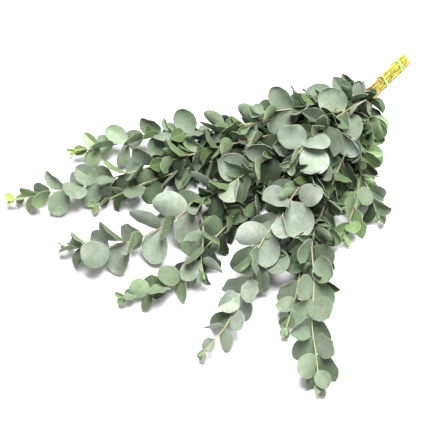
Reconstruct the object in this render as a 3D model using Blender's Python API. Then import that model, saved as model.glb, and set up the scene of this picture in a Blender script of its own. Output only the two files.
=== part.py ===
"""A tied bunch of silver-leaved eucalyptus branches, lying on a surface.

Fourteen cut branches are held by two rubber ties near their cut ends and fan out over the surface.
The origin is on the surface under the inner tie, +X runs along the bunch towards the branch tips,
+Y is to the left of that and +Z is up. All sizes are in metres.
"""

import math
import random

import bmesh
import bpy
from mathutils import Matrix, Vector
from mathutils.bvhtree import BVHTree
from mathutils.geometry import convex_hull_2d

UP = Vector((0, 0, 1))
WELD = 0.00002

# Stems and the bundle that the ties hold
STEM_RADIUS = 0.0018
TIP_RADIUS = 0.0008
SHOOT_RADIUS = 0.0013
STEM_PITCH = 0.0039
ROW_STEP = STEM_PITCH * math.sqrt(3) / 2
STEM_ROUNDING = 0
STEM_POINT_GAP = 0.040
SHOOT_POINT_GAP = 0.032
CUT_END_X = -0.060
CUT_UNEVENNESS = 0.003
OUTER_TIE_X = -0.040
INNER_TIE_X = 0.0
STRAIGHT_END_X = 0.020

# Ties: each is a rubber band wound twice round the bundle, its loops slanted differently
TIE_GAP = 0.0004
TIE_THICKNESS = 0.0012
TIE_WIDTH = 0.0026
TIE_LOOPS = 2
LOOP_LIFT = 0.0004
CORNERS_ROUND_A_STEM = 8
INNER_SLANTS = (0.16, 0.0)
OUTER_SLANTS = (0.3, -0.3)

# A blade's half outline beyond its stalk, as (share of the length, share of the half width)
ROUND_OUTLINE = ((0.32, 0.96), (0.72, 0.92))
YOUNG_OUTLINE = ((0.46, 1.0),)
YOUNG_LENGTH = 0.028
BLADE_THICKNESS = 0.0008
STALK_LENGTH = 0.0042
STALK_SHARE = 0.16
STALK_HALF_WIDTH = 0.0010

# How leaves grow along a stem: pairs from the tip back, each turned a quarter from the one before
PAIR_TURN = math.radians(90)
TIP_BUD = 0.003
SMALLEST_LEAF = 0.34
OLDEST_LEAF = 0.80
SPACING_OF_SMALLEST = 0.55
SPACING_SPREAD = 0.08
SHOOT_LEAF_SHARE = 0.85
SHOOT_BARE_LENGTH = 0.030

# How each leaf differs from the next: ranges that a seeded draw picks from
LENGTH_SPREAD = (0.92, 1.06)
WIDTH_SHARE = (0.64, 0.92)
CURL = (-0.15, 0.11)
OPENING = (math.radians(58), math.radians(78))
LEANING = math.radians(34)
CLOSING_AT_TIP = math.radians(22)
CLOSING_FROM = 0.8
# The leaves turn their upper faces, more or less, towards the light
LIGHT = Vector((0.26, 0.23, 0.94)).normalized()
TURN_TO_LIGHT = (0.25, 1.0)
# Old leaves low in the heap turn less, and are narrower
SHADED_SHARE = 0.5
SHADED_BELOW = 0.056
WIDTH_IN_SHADE = (0.52, 0.80)
TURN_IN_SHADE = (0.0, 0.5)
ROLL = math.radians(24)

# How a leaf is bent clear of its neighbours: it tries a little more each time, then gets smaller
CLEARANCE = 0.0007
ROOT_KEPT_CLEAR = 0.0045
TRIES = 60
BEND_ROUND = 1.3
BEND_OPENING = (-0.8, 0.5)
BEND_ROLL = 1.4
SHRINK_FROM = 0.4
SHRINK = 0.35
DEEPEST_DIP = 0.004

# Each branch: slot is its place in the bundle, as steps across and rows up. Leaf is its largest leaf's
# length, first is how far from the inner tie its leaves start, step is the distance between its pairs, young
# is the share of its leafy length where leaves are still growing, and phase turns its first pair. A branch
# marked open has its old leaves in the light too. Route is the line of its stem beyond the ties, and shoot
# that of a side shoot. The branches on top come first, and get their leaves first.
BRANCHES = {
    "sprig_top": {
        "slot": (0, 3), "leaf": 0.047, "first": 0.085, "step": 0.025,
        "young": 0.20, "phase": 60, "seed": 3,
        "route": [
            (0.055, 0.004, 0.034), (0.112, 0.015, 0.066), (0.174, 0.014, 0.086),
            (0.225, 0.018, 0.096), (0.262, 0.022, 0.092),
        ],
    },
    "sprig_right": {
        "slot": (-1, 3), "leaf": 0.046, "first": 0.048, "step": 0.025,
        "young": 0.15, "phase": 35, "seed": 5,
        "route": [
            (0.055, -0.003, 0.033), (0.095, 0.000, 0.058), (0.136, -0.015, 0.078),
            (0.178, -0.038, 0.084), (0.213, -0.071, 0.080),
        ],
    },
    "sprig_centre": {
        "slot": (0.5, 2), "leaf": 0.052, "first": 0.150, "step": 0.027,
        "young": 0.06, "phase": 40, "seed": 8,
        "route": [
            (0.055, 0.008, 0.027), (0.137, 0.026, 0.060), (0.231, 0.043, 0.078),
            (0.302, 0.056, 0.084), (0.356, 0.063, 0.074), (0.401, 0.070, 0.058),
        ],
    },
    "branch_centre": {
        "slot": (-0.5, 2), "leaf": 0.050, "first": 0.150, "step": 0.025,
        "young": 0.14, "phase": 42, "seed": 13,
        "route": [
            (0.055, 0.001, 0.026), (0.132, 0.013, 0.054), (0.205, -0.004, 0.065),
            (0.264, -0.021, 0.062), (0.323, -0.032, 0.058), (0.382, -0.049, 0.052),
            (0.446, -0.064, 0.046), (0.502, -0.095, 0.038), (0.544, -0.148, 0.024),
        ],
        "shoot": [
            (0.382, -0.049, 0.052), (0.396, -0.023, 0.052), (0.415, -0.004, 0.048),
            (0.435, 0.010, 0.040), (0.448, 0.026, 0.032),
        ],
    },
    "branch_right_upper": {
        "slot": (-1.5, 2), "leaf": 0.040, "first": 0.130, "step": 0.024,
        "young": 0.16, "phase": 50, "seed": 21, "open": True,
        "route": [
            (0.055, -0.006, 0.026), (0.105, -0.010, 0.048), (0.164, -0.038, 0.060),
            (0.230, -0.079, 0.060), (0.280, -0.123, 0.050), (0.319, -0.172, 0.042),
            (0.370, -0.210, 0.034), (0.405, -0.238, 0.030), (0.425, -0.255, 0.026),
        ],
    },
    "branch_right_long": {
        "slot": (-1, 1), "leaf": 0.041, "first": 0.170, "step": 0.023,
        "young": 0.14, "phase": 45, "seed": 34,
        "route": [
            (0.055, -0.003, 0.019), (0.115, 0.001, 0.042), (0.194, -0.032, 0.052),
            (0.258, -0.073, 0.050), (0.321, -0.115, 0.044), (0.379, -0.151, 0.038),
            (0.432, -0.183, 0.034), (0.491, -0.224, 0.028), (0.540, -0.265, 0.020),
        ],
    },
    "branch_left_outer": {
        "slot": (1, 1), "leaf": 0.045, "first": 0.120, "step": 0.025,
        "young": 0.09, "phase": 48, "seed": 55,
        "route": [
            (0.055, 0.011, 0.020), (0.125, 0.040, 0.042), (0.193, 0.062, 0.052),
            (0.260, 0.088, 0.054), (0.315, 0.110, 0.052), (0.358, 0.149, 0.045),
            (0.408, 0.187, 0.036), (0.435, 0.217, 0.028), (0.463, 0.246, 0.018),
        ],
        "shoot": [
            (0.125, 0.040, 0.042), (0.154, 0.060, 0.046), (0.173, 0.085, 0.040),
            (0.188, 0.114, 0.034), (0.208, 0.145, 0.026),
        ],
    },
    "branch_left_middle": {
        "slot": (0, 1), "leaf": 0.041, "first": 0.190, "step": 0.027,
        "young": 0.20, "phase": 40, "seed": 89,
        "route": [
            (0.055, 0.004, 0.019), (0.126, 0.024, 0.042), (0.197, 0.032, 0.050),
            (0.269, 0.049, 0.052), (0.325, 0.068, 0.050), (0.378, 0.079, 0.044),
            (0.427, 0.082, 0.036), (0.482, 0.099, 0.026), (0.530, 0.100, 0.018),
        ],
    },
    "branch_right_lower": {
        "slot": (-2, 1), "leaf": 0.041, "first": 0.130, "step": 0.028,
        "young": 0.18, "phase": 45, "seed": 144,
        "route": [
            (0.055, -0.009, 0.018), (0.104, -0.008, 0.028), (0.182, -0.026, 0.032),
            (0.244, -0.060, 0.030), (0.287, -0.084, 0.028), (0.343, -0.115, 0.026),
            (0.399, -0.143, 0.024), (0.465, -0.170, 0.018),
        ],
    },
    "branch_centre_lower": {
        "slot": (-0.5, 0), "leaf": 0.038, "first": 0.180, "step": 0.024,
        "young": 0.14, "phase": 50, "seed": 233,
        "route": [
            (0.055, 0.001, 0.012), (0.124, 0.008, 0.022), (0.209, 0.006, 0.030),
            (0.286, 0.004, 0.030), (0.350, -0.002, 0.028), (0.414, -0.001, 0.027),
            (0.473, 0.003, 0.025), (0.512, -0.016, 0.022), (0.544, -0.038, 0.018),
        ],
    },
    "branch_left_inner": {
        "slot": (0.5, 0), "leaf": 0.040, "first": 0.140, "step": 0.028,
        "young": 0.20, "phase": 45, "seed": 377,
        "route": [
            (0.055, 0.007, 0.012), (0.119, 0.028, 0.022), (0.191, 0.044, 0.030),
            (0.263, 0.056, 0.032), (0.315, 0.084, 0.032), (0.348, 0.117, 0.030),
            (0.384, 0.140, 0.026), (0.430, 0.161, 0.016),
        ],
    },
    "branch_left_edge": {
        "slot": (2, 1), "leaf": 0.045, "first": 0.082, "step": 0.028,
        "young": 0.20, "phase": 45, "seed": 610, "open": True,
        "route": [
            (0.055, 0.018, 0.020), (0.105, 0.046, 0.026), (0.155, 0.078, 0.024),
            (0.210, 0.108, 0.022), (0.262, 0.130, 0.018),
        ],
    },
    "branch_under_right": {
        "slot": (-1.5, 0), "leaf": 0.042, "first": 0.120, "step": 0.031,
        "young": 0.20, "phase": 45, "seed": 987,
        "route": [
            (0.055, -0.007, 0.012), (0.110, -0.022, 0.018), (0.170, -0.048, 0.018),
            (0.230, -0.090, 0.018), (0.285, -0.130, 0.016), (0.335, -0.160, 0.014),
        ],
    },
    "branch_under_left": {
        "slot": (1.5, 0), "leaf": 0.042, "first": 0.080, "step": 0.031,
        "young": 0.20, "phase": 45, "seed": 1597,
        "route": [
            (0.055, 0.014, 0.012), (0.110, 0.044, 0.014), (0.175, 0.064, 0.016),
            (0.240, 0.082, 0.016), (0.300, 0.112, 0.015), (0.340, 0.150, 0.013),
        ],
    },
}

LEAF_COLOUR = (0.27, 0.36, 0.27, 1)
TIE_COLOUR = (0.42, 0.66, 0.22, 1)


def clear_scene():
    for thing in list(bpy.data.objects):
        bpy.data.objects.remove(thing)


def material(name, colour, roughness):
    made = bpy.data.materials.new(name)
    made.use_nodes = True
    shader = made.node_tree.nodes["Principled BSDF"]
    shader.inputs["Base Color"].default_value = colour
    shader.inputs["Roughness"].default_value = roughness
    shader.inputs["Metallic"].default_value = 0.0
    return made


# The bundle


def slot_place(slot):
    """(y, z) of a stem inside the ties. The lowest row's tie rests on the surface."""
    lowest = STEM_RADIUS + TIE_GAP + TIE_THICKNESS + LOOP_LIFT * (TIE_LOOPS - 1)
    return slot[0] * STEM_PITCH, lowest + slot[1] * ROW_STEP


def round_the_bundle(away):
    """Points round every stem of the bundle, at a distance from its bark, as (y, z) places."""
    points = []
    radius = STEM_RADIUS + away
    for branch in BRANCHES.values():
        y, z = slot_place(branch["slot"])
        for number in range(CORNERS_ROUND_A_STEM):
            angle = 2 * math.pi * number / CORNERS_ROUND_A_STEM
            points.append(Vector((y + radius * math.cos(angle), z + radius * math.sin(angle))))
    return points


def tie_outline(away):
    """The outline that hugs the bundle at a distance from the bark, with the same corners at any distance."""
    corners = convex_hull_2d(round_the_bundle(TIE_GAP))
    points = round_the_bundle(away)
    return [points[number] for number in corners]


# Stem lines


def smooth_line(points, gap):
    """A smooth curve through the points, as places about gap apart."""
    points = [Vector(p) for p in points]
    ends = [2 * points[0] - points[1], *points, 2 * points[-1] - points[-2]]
    line = [points[0]]
    for before, start, end, after in zip(ends, ends[1:], ends[2:], ends[3:]):
        span = (end - start).length
        lead = (end - before).normalized() * span
        trail = (after - start).normalized() * span
        steps = max(1, round(span / gap))
        for step in range(1, steps + 1):
            t = step / steps
            line.append(
                (2 * t**3 - 3 * t**2 + 1) * start + (t**3 - 2 * t**2 + t) * lead
                + (3 * t**2 - 2 * t**3) * end + (t**3 - t**2) * trail
            )
    return line


def stem_line(branch):
    """The line of a branch's main stem from its cut end to its tip."""
    y, z = slot_place(branch["slot"])
    cut = CUT_END_X + CUT_UNEVENNESS * math.sin(7 * branch["seed"])
    held = [(cut, y, z), (OUTER_TIE_X, y, z), (INNER_TIE_X, y, z), (STRAIGHT_END_X, y, z)]
    return smooth_line([*held, *branch["route"]], STEM_POINT_GAP)


def along(line, distance):
    """The place and the direction at a distance along a line."""
    gone = 0.0
    for start, end in zip(line, line[1:]):
        span = (end - start).length
        if gone + span >= distance:
            break
        gone += span
    return start.lerp(end, min(1.0, (distance - gone) / span)), (end - start).normalized()


def length_of(line):
    return sum((end - start).length for start, end in zip(line, line[1:]))


def solid_from_curve(name, curve, place=Matrix()):
    """A curve's solid as a mesh object, with its caps welded on."""
    guide = bpy.data.objects.new(name + "_line", curve)
    bpy.context.scene.collection.objects.link(guide)
    graph = bpy.context.evaluated_depsgraph_get()
    mesh = bpy.data.meshes.new_from_object(guide.evaluated_get(graph))
    bpy.data.objects.remove(guide)
    mesh.name = name
    welded = bmesh.new()
    welded.from_mesh(mesh)
    bmesh.ops.remove_doubles(welded, verts=welded.verts, dist=WELD)
    welded.transform(place)
    bmesh.ops.recalc_face_normals(welded, faces=welded.faces)
    welded.to_mesh(mesh)
    welded.free()
    return bpy.data.objects.new(name, mesh)


def tube(name, line, start_radius, end_radius):
    """A tapering stem along a line, with closed ends."""
    curve = bpy.data.curves.new(name, "CURVE")
    curve.dimensions = "3D"
    curve.bevel_depth = 1.0
    curve.bevel_resolution = STEM_ROUNDING
    curve.use_fill_caps = True
    spline = curve.splines.new("POLY")
    spline.points.add(len(line) - 1)
    for number, (point, place) in enumerate(zip(spline.points, line)):
        point.co = (*place, 1)
        point.radius = start_radius + (end_radius - start_radius) * number / (len(line) - 1)
    return solid_from_curve(name, curve)


# Leaves


def blade_outline(leaf):
    """The half outline of a blade with its stalk, as (distance along the rib, half width)."""
    length, half = leaf["length"], leaf["width"] / 2
    rounding = YOUNG_OUTLINE if length < YOUNG_LENGTH else ROUND_OUTLINE
    stalk = min(STALK_LENGTH, STALK_SHARE * length)
    return [(stalk, STALK_HALF_WIDTH)] + [(share * length, wide * half) for share, wide in rounding]


def blade_surface(leaf, grow=0.0, root=0.0):
    """The blade's middle surface: a round with a stalk, laid out along its rib and curled."""
    length = leaf["length"]
    left = [(along_rib, wide + grow) for along_rib, wide in blade_outline(leaf)]
    right = [(along_rib, -wide) for along_rib, wide in reversed(left)]
    outline = [(root, 0.0), *left, (length + grow, 0.0), *right]
    sheet = bmesh.new()
    bmesh.ops.create_circle(sheet, cap_ends=True, radius=1.0, segments=len(outline))
    corners = sorted(sheet.verts, key=lambda v: math.atan2(v.co.x, v.co.y))
    for corner, (along_rib, wide) in zip(corners, outline):
        corner.co = (max(root, along_rib), wide, length * leaf["curl"] * (along_rib / length) ** 2)
    for number in range(1, len(left) + 1):
        bmesh.ops.connect_verts(sheet, verts=[corners[number], corners[-number]])
    bmesh.ops.triangulate(sheet, faces=sheet.faces)
    return sheet


def blade_mesh(leaf, thickness, grow=0.0, root=0.0):
    """A closed blade of even thickness in place. What would dip below the surface lies on it."""
    blade = blade_surface(leaf, grow, root)
    rib, face = leaf["rib"], leaf["face"]
    turn = Matrix((rib, face.cross(rib), face)).transposed()
    blade.transform(Matrix.Translation(leaf["root"]) @ turn.to_4x4())
    lowest = thickness / 2 * abs(face.z)
    for corner in blade.verts:
        corner.co.z = max(corner.co.z, lowest)
        corner.co -= face * thickness / 2
    raised = bmesh.ops.extrude_face_region(blade, geom=blade.faces[:])
    upper = [piece for piece in raised["geom"] if isinstance(piece, bmesh.types.BMVert)]
    bmesh.ops.translate(blade, vec=face * thickness, verts=upper)
    bmesh.ops.triangulate(blade, faces=blade.faces)
    bmesh.ops.recalc_face_normals(blade, faces=blade.faces)
    return blade


def tree_of(blade):
    tree = BVHTree.FromBMesh(blade)
    blade.free()
    return tree


def aim_leaf(direction, azimuth, opening, turn_to_light, roll):
    """The rib's and the upper face's directions for a leaf that leaves the stem at an azimuth."""
    above = (UP - UP.dot(direction) * direction).normalized()
    beside = direction.cross(above)
    outward = math.cos(azimuth) * above + math.sin(azimuth) * beside
    rib = (math.cos(opening) * direction + math.sin(opening) * outward).normalized()
    face = (direction - direction.dot(rib) * rib).normalized()
    lit = (LIGHT - LIGHT.dot(rib) * rib).normalized()
    turn = roll + turn_to_light * math.atan2(face.cross(lit).dot(rib), face.dot(lit))
    return rib, Matrix.Rotation(turn, 3, rib) @ face


def size_share(share, young):
    """A leaf's size as a share of the branch's largest, at its share of the way along the leafy length."""
    growth = SMALLEST_LEAF + (1 - SMALLEST_LEAF) * min(1.0, (1 - share) / young)
    return growth * min(1.0, OLDEST_LEAF + share)


def ball_round(leaf):
    """(centre, radius) of a ball round a leaf."""
    middle = leaf["root"] + leaf["rib"] * leaf["length"] / 2
    return middle, leaf["length"] / 2 + leaf["width"] / 4


class Foliage:
    """Finds a free place for each leaf: a leaf that would cross another is bent clear, or has fallen."""

    def __init__(self):
        self.placed = []
        self.fallen = 0

    def is_clear(self, leaf, stem_name, node):
        tip = leaf["root"] + leaf["rib"] * leaf["length"]
        side_dip = abs(leaf["face"].cross(leaf["rib"]).z) * leaf["width"] / 2
        if min(tip.z, (leaf["root"].z + tip.z) / 2 - side_dip) < -DEEPEST_DIP:
            return False
        middle, reach = ball_round(leaf)
        padded = BLADE_THICKNESS + 2 * CLEARANCE
        whole = cut = None
        for thing in self.placed:
            if thing["stem"] == stem_name and thing["is_stem"]:
                continue
            if (thing["centre"] - middle).length > thing["radius"] + reach:
                continue
            if thing["node"] == node:
                cut = cut or tree_of(blade_mesh(leaf, padded, CLEARANCE, ROOT_KEPT_CLEAR))
                crossed = cut.overlap(thing["cut"])
            else:
                whole = whole or tree_of(blade_mesh(leaf, padded, CLEARANCE))
                crossed = whole.overlap(thing["whole"])
            if crossed:
                return False
        return True

    def keep(self, leaf, stem_name, node):
        middle, reach = ball_round(leaf)
        self.placed.append({
            "stem": stem_name, "node": node, "is_stem": False, "centre": middle, "radius": reach,
            "whole": tree_of(blade_mesh(leaf, BLADE_THICKNESS)),
            "cut": tree_of(blade_mesh(leaf, BLADE_THICKNESS, root=ROOT_KEPT_CLEAR)),
        })

    def add_stem(self, stem, stem_name, node):
        shape = bmesh.new()
        shape.from_mesh(stem.data)
        corners = [corner.co.copy() for corner in shape.verts]
        centre = sum(corners, Vector()) / len(corners)
        tree = tree_of(shape)
        self.placed.append({
            "stem": stem_name, "node": node, "is_stem": True, "centre": centre,
            "radius": max((corner - centre).length for corner in corners), "whole": tree, "cut": tree,
        })

    def grow(self, stem_name, node, line, first, branch, draw):
        """The leaves in pairs along a line, from its tip back, each turned a quarter from the last."""
        leaves = []
        whole = length_of(line)
        reach, number = whole - TIP_BUD, 0
        while reach > first:
            share = (reach - first) / (whole - first)
            growth = size_share(share, branch["young"])
            place, direction = along(line, reach)
            azimuth = math.radians(branch["phase"]) + number * PAIR_TURN
            for side in (0, math.pi):
                size = branch["leaf"] * growth
                wish = self.wish(place, azimuth + side, size, share, "open" in branch, draw)
                leaf = self.find(stem_name, node, direction, wish, draw)
                if leaf:
                    leaves.append(leaf)
                else:
                    self.fallen += 1
            spacing = SPACING_OF_SMALLEST + (1 - SPACING_OF_SMALLEST) * growth
            reach -= branch["step"] * spacing * draw.uniform(1 - SPACING_SPREAD, 1 + SPACING_SPREAD)
            number += 1
        return leaves

    def wish(self, place, azimuth, size, share, is_open, draw):
        """The leaf that would grow here with nothing in its way."""
        length = size * draw.uniform(*LENGTH_SPREAD)
        closing = CLOSING_AT_TIP * max(0.0, share - CLOSING_FROM) / (1 - CLOSING_FROM)
        closing += LEANING * math.cos(azimuth) ** 2
        is_shaded = share < SHADED_SHARE and place.z < SHADED_BELOW and not is_open
        widths = WIDTH_IN_SHADE if is_shaded else WIDTH_SHARE
        turning = TURN_IN_SHADE if is_shaded else TURN_TO_LIGHT
        return {
            "root": place, "azimuth": azimuth, "length": length,
            "curl": draw.uniform(*CURL),
            "width": length * draw.uniform(*widths),
            "opening": draw.uniform(*OPENING) - closing,
            "turn_to_light": draw.uniform(*turning),
            "roll": draw.uniform(-ROLL, ROLL),
        }

    def find(self, stem_name, node, direction, wish, draw):
        """The leaf as wished, or bent clear of its neighbours, or None where there is no room for it."""
        for attempt in range(TRIES):
            bend = attempt / TRIES
            azimuth = wish["azimuth"] + bend * draw.uniform(-BEND_ROUND, BEND_ROUND)
            opening = wish["opening"] + bend * draw.uniform(*BEND_OPENING)
            roll = wish["roll"] + bend * draw.uniform(-BEND_ROLL, BEND_ROLL)
            rib, face = aim_leaf(direction, azimuth, opening, wish["turn_to_light"], roll)
            kept = 1 - SHRINK * max(0.0, bend - SHRINK_FROM) / (1 - SHRINK_FROM)
            size = {"length": wish["length"] * kept, "width": wish["width"] * kept}
            leaf = {**wish, **size, "rib": rib, "face": face}
            if self.is_clear(leaf, stem_name, node):
                self.keep(leaf, stem_name, node)
                return leaf
        return None


def fuse(base, pieces, name):
    """Joins pieces to a base in one Boolean union."""
    bpy.context.scene.collection.objects.link(base)
    group = bpy.data.collections.new(name + "_pieces")
    for piece in pieces:
        group.objects.link(piece)
    join = base.modifiers.new("join", "BOOLEAN")
    join.operation = "UNION"
    join.solver = "EXACT"
    join.operand_type = "COLLECTION"
    join.collection = group
    graph = bpy.context.evaluated_depsgraph_get()
    mesh = bpy.data.meshes.new_from_object(base.evaluated_get(graph))
    made = bpy.data.objects.new(name, mesh)
    bpy.data.objects.remove(base)
    for piece in pieces:
        bpy.data.objects.remove(piece)
    bpy.data.collections.remove(group)
    return made


def finish(thing, its_material, collection):
    thing.data.materials.clear()
    thing.data.materials.append(its_material)
    collection.objects.link(thing)


def leaf_object(name, leaf):
    mesh = bpy.data.meshes.new(name)
    blade = blade_mesh(leaf, BLADE_THICKNESS)
    blade.to_mesh(mesh)
    blade.free()
    return bpy.data.objects.new(name, mesh)


def build_branches(collection, leaf_material):
    foliage = Foliage()
    stems, shoots, shoot_lines = {}, {}, {}
    for name, branch in BRANCHES.items():
        stems[name] = tube(name + "_stem", stem_line(branch), STEM_RADIUS, TIP_RADIUS)
        foliage.add_stem(stems[name], name, name)
        if "shoot" in branch:
            shoot_lines[name] = smooth_line(branch["shoot"], SHOOT_POINT_GAP)
            shoots[name] = tube(name + "_shoot", shoot_lines[name], SHOOT_RADIUS, TIP_RADIUS)
            foliage.add_stem(shoots[name], name + "_shoot", name)
    for name, branch in BRANCHES.items():
        draw = random.Random(branch["seed"])
        leaves = foliage.grow(name, name, stem_line(branch), branch["first"] - CUT_END_X, branch, draw)
        pieces = []
        if name in shoots:
            size = {"leaf": branch["leaf"] * SHOOT_LEAF_SHARE, "step": branch["step"] * SHOOT_LEAF_SHARE}
            leaves += foliage.grow(
                name + "_shoot", name, shoot_lines[name], SHOOT_BARE_LENGTH, {**branch, **size}, draw
            )
            pieces.append(shoots[name])
        pieces += [leaf_object(f"{name}_leaf_{number}", leaf) for number, leaf in enumerate(leaves)]
        finish(fuse(stems[name], pieces, name), leaf_material, collection)
        print(name, len(leaves), "leaves")
    print(foliage.fallen, "fallen leaves")


# Ties


def loop_band(name, x, number, slant):
    """One loop of a tie: a flat band that hugs the bundle. Slant is its run along for each step across."""
    outline = bpy.data.curves.new(name, "CURVE")
    outline.dimensions = "2D"
    outline.fill_mode = "BOTH"
    outline.extrude = TIE_WIDTH / 2
    inside = TIE_GAP + number * LOOP_LIFT
    for away in (inside, inside + TIE_THICKNESS):
        corners = tie_outline(away)
        spline = outline.splines.new("POLY")
        spline.use_cyclic_u = True
        spline.points.add(len(corners) - 1)
        for point, (y, z) in zip(spline.points, corners):
            point.co = (y, z, 0, 1)
    stand_up = Matrix(((slant, 0, 1, x), (1, 0, 0, 0), (0, 1, 0, 0), (0, 0, 0, 1)))
    return solid_from_curve(name, outline, stand_up)


def build_tie(name, x, slants, collection, tie_material):
    loops = [loop_band(f"{name}_loop_{number}", x, number, slant) for number, slant in enumerate(slants)]
    finish(fuse(loops[0], loops[1:], name), tie_material, collection)


def main():
    clear_scene()
    bunch = bpy.data.collections.new("eucalyptus_bunch")
    bpy.context.scene.collection.children.link(bunch)
    leaf_material = material("eucalyptus_leaf", LEAF_COLOUR, 0.55)
    tie_material = material("rubber_tie", TIE_COLOUR, 0.45)
    build_branches(bunch, leaf_material)
    build_tie("tie_inner", INNER_TIE_X, INNER_SLANTS, bunch, tie_material)
    build_tie("tie_outer", OUTER_TIE_X, OUTER_SLANTS, bunch, tie_material)


main()
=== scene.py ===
# %% [markdown]
# A tied bunch of silver-leaved eucalyptus
#
# The real thing is a florist's bunch. Fourteen cut branches lie fanned out on a white surface, two rubber
# bands hold them together near their cut ends, and every branch carries pairs of round, waxy, grey-green
# leaves, large in the middle of the branch and small at its tip.
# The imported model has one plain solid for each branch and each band, at its real place and size. Here every
# one of them gives way to finer pieces of the same form: thin curled blades, round stems with swollen
# nodes, fresh cut ends, buds at the tips, and rubber bands that hug the bundle.

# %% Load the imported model
import math
import random

import bmesh
import bpy
from mathutils import Matrix, Vector
from mathutils.bvhtree import BVHTree
from mathutils.geometry import convex_hull_2d


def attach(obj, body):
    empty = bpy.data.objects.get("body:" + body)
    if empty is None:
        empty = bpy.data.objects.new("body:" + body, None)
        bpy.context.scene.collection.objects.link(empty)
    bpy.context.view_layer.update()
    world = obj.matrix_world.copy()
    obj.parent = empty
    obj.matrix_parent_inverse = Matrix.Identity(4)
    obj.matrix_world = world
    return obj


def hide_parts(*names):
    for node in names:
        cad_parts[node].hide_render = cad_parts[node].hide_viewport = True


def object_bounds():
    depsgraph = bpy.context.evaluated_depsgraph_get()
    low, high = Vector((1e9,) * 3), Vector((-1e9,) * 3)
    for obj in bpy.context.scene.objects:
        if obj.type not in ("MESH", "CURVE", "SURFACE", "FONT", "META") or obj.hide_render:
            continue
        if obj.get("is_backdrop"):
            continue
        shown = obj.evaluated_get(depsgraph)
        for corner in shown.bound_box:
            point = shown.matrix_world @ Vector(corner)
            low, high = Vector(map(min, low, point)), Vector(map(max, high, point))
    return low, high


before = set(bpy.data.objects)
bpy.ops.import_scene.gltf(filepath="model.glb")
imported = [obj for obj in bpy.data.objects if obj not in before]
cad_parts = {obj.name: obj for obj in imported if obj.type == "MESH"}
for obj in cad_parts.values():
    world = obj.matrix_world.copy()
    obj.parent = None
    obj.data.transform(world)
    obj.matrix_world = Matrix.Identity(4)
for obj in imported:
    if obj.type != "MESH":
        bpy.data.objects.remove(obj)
cad_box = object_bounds()
print("the packed bunch measures", [round(high - low, 3) for low, high in zip(*cad_box)])

# %% [markdown]
# Where the stems run
#
# A branch is easiest to place by the line of its stem: straight through the two bands, then out into the fan.
# The lines could be drawn again from the photograph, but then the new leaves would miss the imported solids.
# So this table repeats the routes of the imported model, in metres, and every later cell works from it.

# %% The bundle inside the bands
UP = Vector((0, 0, 1))
STEM_RADIUS = 0.0018
TIP_RADIUS = 0.0008
SHOOT_RADIUS = 0.0013
STEM_PITCH = 0.0039
ROW_STEP = STEM_PITCH * math.sqrt(3) / 2
CUT_END_X = -0.060
CUT_UNEVENNESS = 0.003
OUTER_TIE_X = -0.040
INNER_TIE_X = 0.0
STRAIGHT_END_X = 0.020
TIE_GAP = 0.0004
TIE_THICKNESS = 0.0012
TIE_WIDTH = 0.0026
TIE_LOOPS = 2
LOOP_LIFT = 0.0004
print("the rows of stems lie", round(1000 * ROW_STEP, 2), "mm apart inside the bands")

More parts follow.
